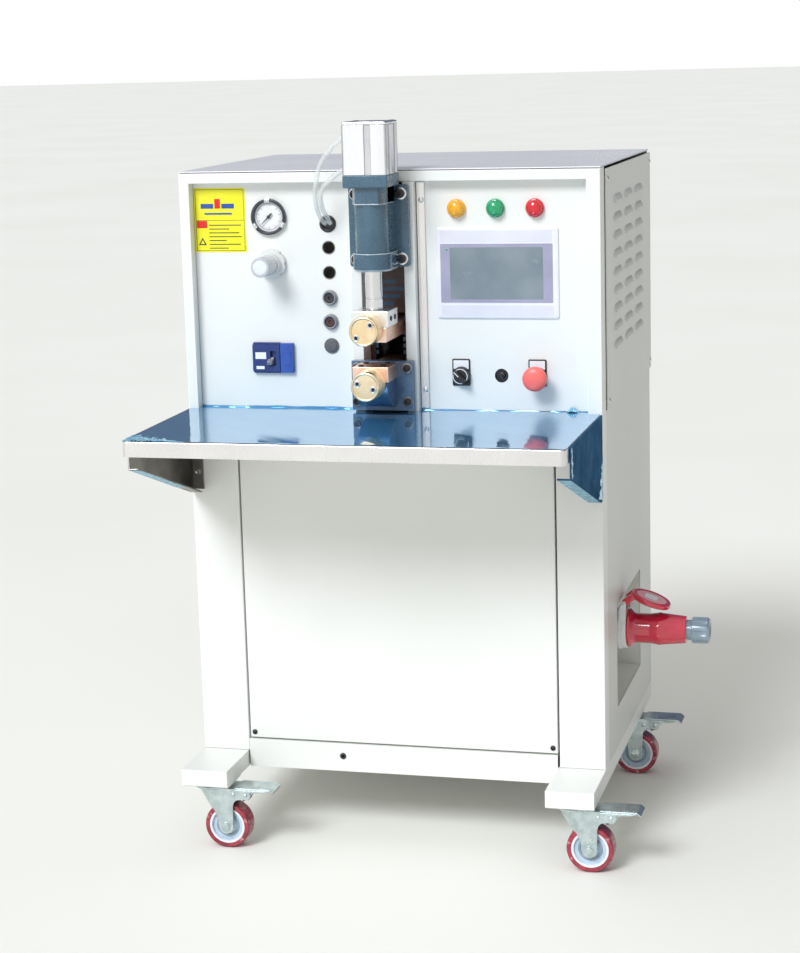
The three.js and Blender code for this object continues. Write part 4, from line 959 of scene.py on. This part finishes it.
def build_cylinder():
    x, y = HEAD["x"], HEAD["y"]
    barrel = prism(barrel_outline(), "z", 1127, 1204.5, 0.3, segments=1)
    lid = prism(rounded(x - 36.2, x + 36.2, y - 36.2, y + 36.2, 4), "z", 1204.8, 1209.4, 1.2)
    rim = lathe([(0, 1209), (25, 1209), (25, 1209.9), (24, 1210), (0, 1210)], "z", (x, y, 0), 64)

    # painted shade: the faces inside the grooves take the darker aluminium
    def in_groove(middle, normal):
        inside = abs(middle.x - x) < 35.6 and abs(middle.y - y) < 35.6
        return 1 if inside and middle.z < 1204 and abs(normal.z) < 0.5 else 0

    piece("cylinder_skin", [barrel, lid, rim], "anodised", "groove", replaces=["cylinder_barrel"],
          paint=in_groove)
    corners = [(x + sx * 29, y + sy * 29) for sx in (-1, 1) for sy in (-1, 1)]
    heads = [screw((sx, sy, 1208.4), 4.2, 1.5, "z", 1) for sx, sy in corners]
    piece("cylinder_screws", heads, "dark_steel")
    for name, height, tilt in (("upper", 1195.2, 38), ("lower", 1142.7, 32)):
        nut = merged(
            lathe([(0, 0), (5.6, 0), (5.6, 3.5), (0, 3.5)], "x", segments=36),
            hex_nut((3.5, 0, 0), 12.4, 5, "x", 1),
            lathe([(0, 8.5), (5.2, 8.5), (5.2, 12.5), (6.4, 13), (6.4, 16.8), (5.8, 17.6), (0, 17.6)], "x",
                  segments=36),
        )
        turned(nut, 180 - tilt, "y")
        piece(f"air_fitting_{name}", shifted(nut, x - 34, y + 18, height), "bright")


def build_ram():
    x, y = HEAD["x"], HEAD["y"]
    rod = lathe([(0, 912.3), (13, 912.3), (14, 913.4), (14, 928.8), (13.1, 929.4), (13.1, 931.4), (14, 932),
                 (14, 1178), (31.1, 1178), (31.1, 1195), (0, 1195)], "z", (x, y, 0), 64)
    piece("ram_rod_skin", rod, "chrome", replaces=["ram_rod"], body="ram")
    refined("upper_holder", "milled", fold=1.2, soft=0.4, body="ram")
    side_screws = [screw((22, by, 899), 4.3, 1.2, "x", 1) for by in (-62, -38)]
    piece("holder_screws", side_screws, "dark_steel", body="ram")
    refined("upper_copper_arm", "copper", fold=0.9, soft=0.3, body="ram")


def build_electrodes():
    """Two turned discs, each with a raised rim and two screws sunk in its face."""
    x, front = DISC["x"], DISC["front"]
    face = [(0, front + 1.7), (19.4, front + 1.7), (20.4, front + 0.4), (21.4, front), (22.8, front + 0.2),
            (24, front + 1.6)]
    grooves = []
    for y in (-97, -88, -79):
        grooves += [(24, y), (22.4, y + 0.5), (22.4, y + 1.9), (24, y + 2.4)]
    stacks = {
        "upper": ("ram", DISC["upper"], [*face, (24, -80.3), (0, -80.3)], ((11.2, 10.2), (-12.4, -10.4))),
        "lower": ("cabinet", DISC["lower"], [*face, *grooves, (24, -70.3), (0, -70.3)],
                  ((-12.8, 5.2), (13, -3.8))),
    }
    for name, (body, z, profile, screws) in stacks.items():
        disc = lathe(profile, "y", (x, 0, z), 96)
        piece(f"{name}_electrode_skin", disc, f"brass_{name}", body=body, replaces=[f"{name}_electrode"])
        centres = [(x + dx, z + dz) for dx, dz in screws]

        # painted shade: the floors and walls of the screw sockets take the near-black finish
        def in_socket(middle, normal):
            reach = min(math.hypot(middle.x - sx, middle.z - sz) for sx, sz in centres)
            return 1 if reach < 2.9 and middle.y > front + 0.05 else 0

        heads = [screw((sx, front + 1.7, sz), 5, 1.7, socket=0.58) for sx, sz in centres]
        piece(f"{name}_electrode_screws", heads, "bright", "hole", body=body, paint=in_socket)


def build_conductors():
    """The laminated strap, leaf by leaf, and what it joins."""
    y0, y1, z, thick, rise, leaves = (STRAP[key] for key in ("front", "back", "z", "thick", "rise", "leaves"))

    def leaf(index):
        low = -thick / 2 + index * thick / leaves
        high = low + thick / leaves * 0.82
        steps = 28
        along = [(y0 + (y1 - y0) * k / steps, rise * math.sin(math.pi * k / steps) ** 2)
                 for k in range(steps + 1)]
        under = [(y, z + h + low) for y, h in along]
        over = [(y, z + h + high) for y, h in reversed(along)]
        return prism(under + over, "x", -28, 12)

    strap = piece("flexible_shunt_leaves", [leaf(k) for k in range(leaves)], "copper",
                  replaces=["flexible_shunt"])
    strap.parent = None
    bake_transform(strap)
    refined("lower_copper_block", "copper", fold=0.9, soft=0.3)
    heads = [screw((bx, by, 821), 4.6, 2.2, "z", 1) for bx in (-31, 5) for by in (-58, -28)]
    piece("copper_block_screws", heads, "dark_steel")
    refined("welding_transformer", "dark_steel", soft=1.2)
    coils = [block((-74, 150 + 22 * k, 760), (62, 166 + 22 * k, 911), 4) for k in range(6)]
    piece("transformer_coils", coils, "copper")


def build_lower_bracket():
    refined("lower_bracket", "navy", fold=2.4, soft=0.8, longer=9)
    corners = [(-51, 757), (34, 757), (-51, 812), (34, 812)]
    piece("lower_bracket_washers", [washer((x, -15, z), 8.4, 1.5) for x, z in corners], "painted_shade_steel")
    piece("lower_bracket_bolts", [screw((x, -16.5, z), 6.2, 6) for x, z in corners], "dark_steel")


# ---- air tubes ------------------------------------------------------------------------------

def build_tubes():
    for name, route in TUBE_ROUTES.items():
        data = bpy.data.curves.new(f"{name}_line", "CURVE")
        data.dimensions = "3D"
        data.bevel_depth = TUBE / 2000
        data.bevel_resolution = 8
        data.resolution_u = 16
        data.use_fill_caps = True
        line = data.splines.new("BEZIER")
        line.bezier_points.add(len(route) - 1)
        places = [TO_PART @ Vector(point) for point in route]
        for knot, place in zip(line.bezier_points, places):
            knot.co = place
            knot.handle_left_type = knot.handle_right_type = "AUTO"
        data.materials.append(FINISH["tube"])
        tube = bpy.data.objects.new(f"{name}_line", data)
        bpy.context.scene.collection.objects.link(tube)
        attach(tube, "cabinet")
        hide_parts(name)


# ---- instruments ----------------------------------------------------------------------------

def build_gauge():
    x, z = GAUGE
    case = lathe([(0, 19), (24.5, 19), (24.5, 14), (25.2, 12.6), (26.2, 12), (28.6, 12), (29.4, 12.8),
                  (29.5, 14), (29.5, 19.7), (26.5, 19.9), (26.5, 50), (0, 50)], "y", (x, 0, z), 96)
    piece("gauge_case_skin", case, "gauge_ring", replaces=["gauge_case"])
    dial = lathe([(0, 18.6), (24.2, 18.6), (24.2, 19.1), (0, 19.1)], "y", (x, 0, z), 72)
    piece("gauge_dial", dial, "dial")
    marks = []
    for k in range(41):
        heavy = k % 5 == 0
        tick = block((16.2 if heavy else 18.2, 18.45, -0.28 if heavy else -0.12),
                     (21.2, 18.62, 0.28 if heavy else 0.12), 0)
        marks.append(shifted(turned(tick, 225 - 270 * k / 40, "y"), x, 0, z))
    ring = prism(circle(x, z, 21.8, 72), "y", 18.45, 18.62, holes=[circle(x, z, 21.3, 72)])
    piece("gauge_marks", [ring, *marks], "ink")
    clamps = []
    for angle in (92, 212, 332):
        clamp = merged(block((24, 11.9, -4.6), (29.9, 13.4, 4.6), 0.5),
                       block((28.8, 12, -4.6), (30.2, 19.8, 4.6), 0.5),
                       shifted(button((0, 11.9, 0), 1.7, 0.9), x=27))
        clamps.append(shifted(turned(clamp, -angle, "y"), x, 0, z))
    piece("gauge_clamps", clamps, "bright")
    blade = prism([(-20, 0), (-16, -0.5), (-2, -1.1), (6.5, -1.6), (8, -1.0), (8, 1.0), (6.5, 1.6),
                   (-2, 1.1), (-16, 0.5)], "y", 14.6, 15.6, 0.15, segments=1)
    hub = lathe([(0, 14.1), (2, 14.1), (2.8, 14.9), (2.8, 16.5), (0, 16.5)], "y", segments=32)
    needle = shifted(turned(merged(blade, hub), -45, "y"), x, 0, z)
    piece("gauge_needle_skin", needle, "ink", replaces=["gauge_needle"], body="needle")


def build_regulator():
    x, z = REGULATOR

    def notches(index, angle):
        return 1 - 0.07 * (math.cos(8 * angle) > 0.55) if index in (4, 5, 6) else 1

    body = lathe([(0, 70), (20, 70), (20, 22.3), (15, 22.3), (24.6, 19.7), (25, 18.8), (24.6, 11.6),
                  (18, 11), (18, -2.4), (17.2, -3), (8, -3), (8, -20), (0, -20)], "y", (x, 0, z), 96,
                  warp=notches)
    piece("regulator_body_skin", body, "grey", replaces=["regulator_body"])

    def flutes(index, angle):
        return 1 - 0.035 * max(0, math.cos(24 * angle)) if 2 <= index <= 6 else 1

    knob = lathe([(0, -44.2), (12.4, -44.2), (15.2, -44), (16.2, -43.2), (16.6, -30), (16.9, -12), (17, -6),
                  (16.4, -5), (8.5, -5), (8.5, -21), (0, -21)], "y", (x, 0, z), 144, warp=flutes)
    piece("regulator_knob_skin", knob, "knob", replaces=["regulator_knob"], body="regulator_knob")
    cap = lathe([(0, -45), (11, -45), (11.8, -44.4), (11.8, -44.1), (0, -44.1)], "y", (x, 0, z), 64)
    piece("regulator_knob_cap", cap, "rim", body="regulator_knob", slot="grey_plastic")


def build_breaker():
    left, right, low, high = (BREAKER[key] for key in ("left", "right", "bottom", "top"))
    step = left + 47
    body = merged(
        prism(rounded(left, step, low + 3, high - 3, 1.2), "y", 10.1, 19.7, 0.7,
              holes=[rounded(left + 30.7, left + 40.5, 810, 834.4, 0.8)]),
        block((left + 30, 16.5, 809), (left + 41.5, 18.6, 835), 0),
        block((left + 4, 19, low + 4), (right - 4, 75, high - 4), 0.8),
        block((left, 14, high - 4), (step, 19.7, high), 0.8),
        block((left, 14, low), (step, 19.7, low + 4), 0.8),
    )
    piece("breaker_skin", body, "blue", replaces=["breaker_case"])
    module = merged(block((step + 0.3, 11.4, low + 1), (right, 19.7, high - 1), 0.8),
                    block((step + 6, 10.6, low + 14), (right - 4, 12, high - 14), 0.5))
    piece("breaker_module", module, "light_blue")
    labels = merged(block((left + 5, 9.95, 821), (left + 23.5, 10.3, 832), 0),
                    block((left + 6, 9.95, 804), (left + 20, 10.3, 809), 0))
    piece("breaker_labels", labels, "dial")
    lever = merged(block((-4.6, -12.4, -3.1), (4.6, 1.5, 3.1), 1.1),
                   lathe([(0, -4.9), (4.2, -4.9), (4.2, 4.9), (0, 4.9)], "x", segments=28))
    lever = shifted(turned(lever, 25, "x"), -206, 14.5, 819.5)
    piece("breaker_toggle_skin", lever, "mid_grey", replaces=["breaker_toggle"], body="breaker_toggle",
          slot="black_plastic")


def build_lamps():
    for name, x in LAMPS.items():
        lens = lathe([(0, 4), (3, 4.1), (7.8, 5.2), (11.2, 7.2), (12.5, 9), (13, 13.4), (12.4, 14.2),
                      (0, 14.2)], "y", (x, 0, LAMP_Z), 96, warp=lambda index,
                      angle: 1 - 0.03 * max(0, math.cos(24 * angle)) if 3 <= index <= 5 else 1)
        skirt = lathe([(11, 13.6), (13.4, 13.6), (14.8, 15), (15, 16), (15, 19.7), (10.8, 19.9), (10.8, 45),
                       (8, 45), (8, 14)], "y", (x, 0, LAMP_Z), 72)
        rings = [lathe([(r, 4.2 + 0.055 * r * r * 0.5), (r + 0.6, 3.9 + 0.055 * r * r * 0.5),
                        (r + 1.2, 4.6 + 0.055 * r * r * 0.5)], "y", (x, 0, LAMP_Z), 64) for r in (3.2, 6.0)]
        piece(f"lamp_{name}_lens", [lens, *rings], f"lens_{name}")
        piece(f"lamp_{name}_skirt", skirt, f"lens_{name}", replaces=[f"lamp_{name}"])


def build_screen():
    x, z = SCREEN["x"], SCREEN["z"]
    half_width, half_height = SCREEN["width"] / 2, SCREEN["height"] / 2
    outer = rounded(x - half_width, x + half_width, z - half_height, z + half_height, 4)
    face = rounded(x - half_width + 5.5, x + half_width - 5.5, z - half_height + 5, z + half_height - 4, 2.5)
    shape = bmesh.new()
    loops = [[shape.verts.new((u, y, v)) for u, v in outline] for outline,
             y in ((outer, 19.7), (outer, 17.6), (face, 15.0))]
    for low, high in zip(loops, loops[1:]):
        for k in range(len(outer)):
            shape.faces.new((low[k - 1], low[k], high[k], high[k - 1]))
    shape.faces.new(loops[-1])
    shape.faces.new(loops[0])
    soften(shape, 0.6, 3, steeper=20)
    box = block((x - half_width + 4.5, 19, z - half_height + 4.5),
                (x + half_width - 4.5, 55, z + half_height - 4.5), 1)
    piece("touch_screen_skin", [shape, box], "bezel", replaces=["touch_screen"])
    for name, finish, u0, u1, v0, v1, y in (
        ("screen_top_strip", "lilac", 86, 269.5, 1012, 1031, 14.8),
        ("screen_border", "lilac_dark", 86.4, 270.3, 914.8, 1009.8, 14.8),
        ("screen_glass", "glass", 102.2, 254.5, 920.6, 1004.2, 14.6),
        ("screen_bottom_strip", "lilac", 86.6, 271.3, 894.5, 910.8, 14.8),
    ):
        plate = prism(rounded(u0, u1, v0, v1, 1.6), "y", y, y + 0.35, 0.15, segments=2)
        piece(name, plate, finish)
    dot = lathe([(0, 14.5), (1.4, 14.5), (1.7, 14.8), (0, 14.9)], "y", (97.5, 0, 1000.4), 28)
    piece("screen_light", dot, "lens_green")


def switch_plate(x0, x1, z1):
    """A black legend frame with a white insert, behind a switch."""
    frame_outline = rounded(x0, x1, SWITCH_Z - 17, z1, 2)
    black = prism(frame_outline, "y", 17.4, 19.9, 0.5)
    insert = prism(rounded(x0 + 2.2, x1 - 2.2, 806.5, z1 - 2.2, 0.8), "y", 17.1, 17.6, 0.1, segments=1)
    return black, insert


def build_switches():
    x = SWITCH_X["selector"]
    black, insert = switch_plate(x - 15.5, x + 14, 823)
    piece("selector_plate", black, "black")
    piece("selector_insert", insert, "dial")
    base = lathe([(0, 6), (12, 6), (12.8, 6.6), (13.4, 8), (13.5, 14), (14.6, 15.2), (14.8, 17.3),
                  (8.5, 17.5), (8.5, 32), (0, 32)], "y", segments=72)
    grip = prism(rounded(-3.5, 3.5, -12.4, 12.4, 2.4), "y", -5, 8, 0.9)
    knob = shifted(turned(merged(base, grip), -45, "y"), x, 0, SWITCH_Z)
    piece("selector_knob_skin", knob, "black", replaces=["selector_knob"], body="selector")
    pointer = shifted(turned(block((-0.7, -5.15, 1), (0.7, -4.8, 11.4), 0.1), -45, "y"), x, 0, SWITCH_Z)
    arc_ring = prism(circle(x, SWITCH_Z, 12.3, 56), "y", 5.8, 6.05, holes=[circle(x, SWITCH_Z, 11.1, 56)])
    piece("selector_pointer", [pointer, arc_ring], "dial", body="selector")

    x = SWITCH_X["stop"]
    black, insert = switch_plate(x - 16, x + 13.5, 823)
    piece("stop_plate", black, "black")
    piece("stop_insert", insert, "dial")
    button_shape = lathe([(0, -23.5), (6, -23.3), (12, -22.4), (16.5, -20.6), (18.8, -18.2), (19.8, -15),
                          (20, -12), (19.6, -9.6), (18.4, -8), (12, -7), (9, -6), (9, 32), (0, 32)], "y",
                          (x, 0, SWITCH_Z), 96)
    piece("stop_button_skin", button_shape, "stop", replaces=["stop_button"], body="stop_button")
    collar = lathe([(9.8, 3), (11.4, 3), (12.2, 4), (13.6, 15.8), (14.4, 17.4), (9.8, 17.4)], "y",
                   (x, 0, SWITCH_Z), 64)
    piece("stop_collar", collar, "black")

    x = SWITCH_X["blank"]
    plug = merged(
        lathe([(0, 24.5), (10.8, 24.5), (10.8, 19.6), (11.1, 19.6), (11.1, 26), (0, 26)], "y",
              (x, 0, SWITCH_Z), 48),
        lathe([(0, 21.4), (5, 21.4), (6, 22.4), (6, 25), (0, 25)], "y", (x, 0, SWITCH_Z), 36),
    )
    piece("blank_plug", plug, "dark_steel", slot="black_plastic")


# ---- mains inlet ----------------------------------------------------------------------------

def build_lid(y):
    """The round lid, lifted off its hinge by two arms and leaning down over the plug."""
    radius = LID["radius"]
    dome = lathe([(0, 4.8), (27, 4.8), (28.6, 5.6), (31, 6), (33.4, 5.6), (radius - 0.4, 3.6),
                  (radius, 1.8), (radius, -2.2), (radius - 1, -3), (32, -3), (31.4, -1.2), (0, -1.2)], "z",
                  (radius, 0, 0), 96)
    face = lathe([(0, 5.2), (25.8, 5.2), (26.4, 4.9), (26.4, 4.5), (0, 4.5)], "z", (radius, 0, 0), 64)
    insert = lathe([(0, -2.4), (24, -2.4), (26, -2), (27, -1.1), (0, -1.1)], "z", (radius, 0, 0), 64)
    patch = prism(rounded(radius - 12, radius + 10, -12, 12, 1.5), "z", 5.15, 5.3, 0.03, segments=1)
    arms = []
    for low in (-25.4, 15.4):
        outline = [(-3.8, -3.6), (3.8, -3.8), (18, 6), (18, 11.6), (9, 14.6), (-3.8, 3.8)]
        arms.append(prism(outline, "y", low, low + 10, 1.4))
    arms.append(lathe([(0, -25), (4, -25), (4, 25), (0, 25)], "y", segments=32))
    arms.append(prism([(8, 9), (18, 6.2), (18, 11.4), (10, 14)], "y", -20, 20, 0.8))
    for name, shape, finish in (
        ("lid_rim", dome, "red"), ("lid_face", face, "pink"), ("lid_insert", insert, "mid_grey"),
        ("lid_patch", patch, "dial"),
    ):
        shifted(turned(shape, LID["tilt"], "y"), LID["start"], 0, LID["rise"])
        piece(name, shifted(shape, LID["x"], y, LID["z"]), finish, body="socket_lid")
    yoke = shifted(merged(*arms), LID["x"], y, LID["z"])
    piece("lid_yoke", yoke, "red", replaces=["socket_lid"], body="socket_lid")


def build_inlet():
    y, z = INLET["y"], INLET["z"]
    refined("inlet_tub", "shaded_side_paint", fold=0.8, soft=0.4, longer=40)
    square = prism(rounded(y - 38, y + 38, z - 38, z + 38, 7), "x", 300.2, 304, 0.8, holes=[circle(y, z, 29)])
    neck = lathe([(28.2, 303), (33.5, 303), (32, 306), (32, 340), (34.5, 345), (34.5, 350), (28.2, 350)],
                 "x", (0, y, z), 72)
    collar = lathe([(28.2, 345), (36, 345), (37, 346), (37, 350.4), (36.6, 351), (35, 351.2), (35, 352.6),
                    (35.4, 353), (35.5, 359.8), (34.6, 361), (31, 361), (30.2, 358.5), (28.2, 358)], "x",
                    (0, y, z), 96)
    tail = lathe([(22, 270), (27, 271), (27, 306), (22, 306)], "x", (0, y, z), 48)
    ears = []
    for low in (-32, 26):
        outline = [(349, 357), (LID["x"] + 3, 357), *arc(LID["x"], LID["z"], 3, 0, 180, 12), (349, 378)]
        ears.append(prism(outline, "y", y + low, y + low + 6, 0.5))
    piece("socket_skin", [square, neck, collar, tail, *ears], "white_plastic", replaces=["socket_housing"])
    pin = lathe([(0, y - 33.5), (1.4, y - 33.5), (1.8, y - 33), (1.8, y + 33), (1.4, y + 33.5),
                 (0, y + 33.5)], "y", (LID["x"], 0, LID["z"]), 24)
    piece("lid_hinge_pin", pin, "bright")
    corners = [(304, y + sy * 31, z + sz * 31) for sy in (-1, 1) for sz in (-1, 1)]
    piece("socket_screws", [button(at, 3.6, 1.8, "x", 1) for at in corners], "bright")

    build_lid(y)
    body = lathe([(0, 312), (26.6, 312), (27.2, 312.8), (27.2, 361.5), (32.4, 361.5), (33, 362.2),
                  (33, 365.4), (31.5, 367.2), (26.4, 372), (25.7, 376), (25.5, 398), (26, 402), (27.6, 413),
                  (28, 416.5), (27, 421), (23.4, 458), (22.6, 460.6), (20, 461.5), (0, 461.5)], "x",
                  (0, y, z), 96)
    piece("mains_plug_body", body, "red", body="plug")

    def ribs(index, angle):
        return 1 - 0.1 * (math.cos(8 * angle) > 0.35) if 3 <= index <= 5 else 1

    gland = lathe([(0, 461), (17, 461), (17, 469.6), (22, 470.6), (22.5, 471.6), (22.5, 494), (21.6, 497.5),
                   (19.4, 500), (12, 500), (11, 497), (0, 497)], "x", (0, y, z), 96, warp=ribs)
    piece("mains_plug_gland", gland, "gland", replaces=["mains_plug"], body="plug")


# ---- castors --------------------------------------------------------------------------------

def nose(side):
    """Half of the fork's pressed nose: closed above the wheel, drawn back to flanges beside it."""
    widest = [(45, 25), (64, 36), (70, 50), (76, 75), (82, 90), (110, 90)]

    def sweep(z):
        for (z0, a0), (z1, a1) in zip(widest, widest[1:]):
            if z <= z1:
                return a0 + (a1 - a0) * (z - z0) / (z1 - z0)
        return 90

    def point(u, v):
        z = 45 + 63 * v
        angle = math.radians(sweep(z) * u)
        front = -24.5 + max(0, 105 - z) * 0.6
        return 20 - (20 - front) * math.sin(angle), side * 19.9 * math.cos(angle), z

    return cloth_like(18, 26, point)


def fork_side(side):
    outline = [(20, 107), (14, 60), *arc(AXLE[0], AXLE[1], 12.5, 180, 360, 20), (41.2, 66), (41.6, 76),
               (43.5, 82.5), (48, 86.5), (56, 88), *arc(64, 96, 9, -80, 84, 12), (50, 106.5)]
    return prism(outline, "y", *sorted((side * 18.4, side * 21.3)), 0.6)


def castor_fork():
    x, z = AXLE
    crown = lathe([(0, 105), (27, 105), (29.4, 106), (30, 107.4), (29.4, 109), (26, 110), (26, 111.7),
                   (0, 111.7)], "z", segments=64)
    saddle = prism(rounded(-18, 52, -20.6, 20.6, 6), "z", 103.4, 106.6, 0.8)
    axle = lathe([(0, -17), (5, -17), (5, 17), (0, 17)], "y", (x, 0, z), 24)
    parts = [crown, saddle, axle, fork_side(-1), fork_side(1)]
    for side in (-1, 1):
        parts.append(washer((x, side * 21.2, z), 8.6, 1.3, "y", side))
        parts.append(hex_nut((x, side * 22.4, z), 12.4, 3.7, "y", side))
        for rx, rz in ((43, 96), (64, 96)):
            parts.append(lathe([(0, side * 21), (3.6, side * 21), (3.4, side * 22.4), (2, side * 23.2),
                                (0, side * 23.4)], "y", (rx, 0, rz), 28))
    return merged(*parts)


def castor_wheel():
    x, z = AXLE
    tread = lathe([(30.8, -15), (36.4, -16), (38.2, -15.2), (39, -12.6), (39, 12.6), (38.2, 15.2),
                   (36.4, 16), (30.8, 15)], "y", (x, 0, z), 96)
    rim = lathe([(26.6, -13), (27.2, -15.2), (30.6, -15.6), (31, -14.8), (31, 14.8), (30.6, 15.6),
                 (27.2, 15.2), (26.6, 13)], "y", (x, 0, z), 96)
    hub = lathe([(5.6, -17.6), (9.6, -17.6), (11.6, -16.4), (13, -11.6), (16, -10.4), (26.8, -10.4),
                 (26.8, 10.4), (16, 10.4), (13, 11.6), (11.6, 16.4), (9.6, 17.6), (5.6, 17.6)], "y",
                 (x, 0, z), 72)
    rings = [lathe([(15.6, side * 10), (20.4, side * 10), (19.8, side * 12.2), (16.2, side * 12.2)], "y",
                   (x, 0, z), 72) for side in (-1, 1)]
    return tread, rim, hub, merged(*rings)


def brake_pedal():
    cam = prism([(53, 93), (57, 91.2), (70, 91.4), (75, 96), (76, 105.6), (53, 105.6)], "y", -17.6, 17.6, 1.0)
    plate = prism([(46, 105.7), (104, 105.7), (108, 104.4), (113, 100.4), (113, 103), (109, 106.6),
                   (105, 108.5), (46, 108.5)], "y", -21.8, 21.8, 0.7)
    cheeks = [prism([(46, 106), (46, 103), (60, 100.6), (98, 103.4), (104, 106)], "y",
                    *sorted((side * 21.9, side * 24)), 0.5) for side in (-1, 1)]
    ridges = [block((84 + 5 * k, -18, 108.3), (86 + 5 * k, 18, 109.1), 0.35) for k in range(4)]
    shoe = prism([(54, 80.5), (66, 84), (70, 92), (56, 92)], "y", -9, 9, 0.8)
    return merged(cam, plate, *cheeks, *ridges), shoe


def build_castors():
    for name, (x, y) in SWIVELS.items():
        def put(label, shape, body, finish, **options):
            return piece(f"{label}_{name}", shifted(shape, x, y), finish, body=f"{body}_{name}", **options)

        put("fork_skin", castor_fork(), "fork", "zinc", replaces=[f"castor_fork_{name}"])
        for side, label in ((-1, "nose_right"), (1, "nose_left")):
            thicken(put(label, nose(side), "fork", "zinc"), 2.6)
        plate = prism(rounded(-33, 33, -30, 30, 4), "z", 112.3, 114.9, 0.5)
        piece(f"castor_plate_{name}", shifted(plate, x, y), "zinc")
        seam = prism(rounded(-37.5, 37.5, -33, 33, 3), "z", 113.6, 115.2, 0.6)
        piece(f"castor_seam_{name}", shifted(seam, x, y), "bare_edge")
        tread, rim, hub, rings = castor_wheel()
        put("wheel_tread", tread, "wheel", "tread")
        put("wheel_rim", rim, "wheel", "rim")
        put("wheel_hub", hub, "wheel", "hub", replaces=[f"castor_wheel_{name}"])
        put("wheel_ring", rings, "wheel", "gland", slot="tread")
        lever, shoe = brake_pedal()
        put("pedal_skin", lever, "pedal", "zinc", replaces=[f"brake_pedal_{name}"])
        put("brake_shoe", shoe, "pedal", "black")


# ---- everything -----------------------------------------------------------------------------

for build in (
    build_materials, add_camera, add_light, add_floor, build_base, build_frame, build_louvres, build_panels,
    build_hole_column, build_label, build_table, build_brackets, build_rails_and_board,
    build_housing, build_cylinder, build_ram, build_electrodes, build_conductors,
    build_lower_bracket, build_tubes, build_gauge, build_regulator, build_breaker, build_lamps,
    build_screen, build_switches, build_inlet, build_castors,
):
    build()
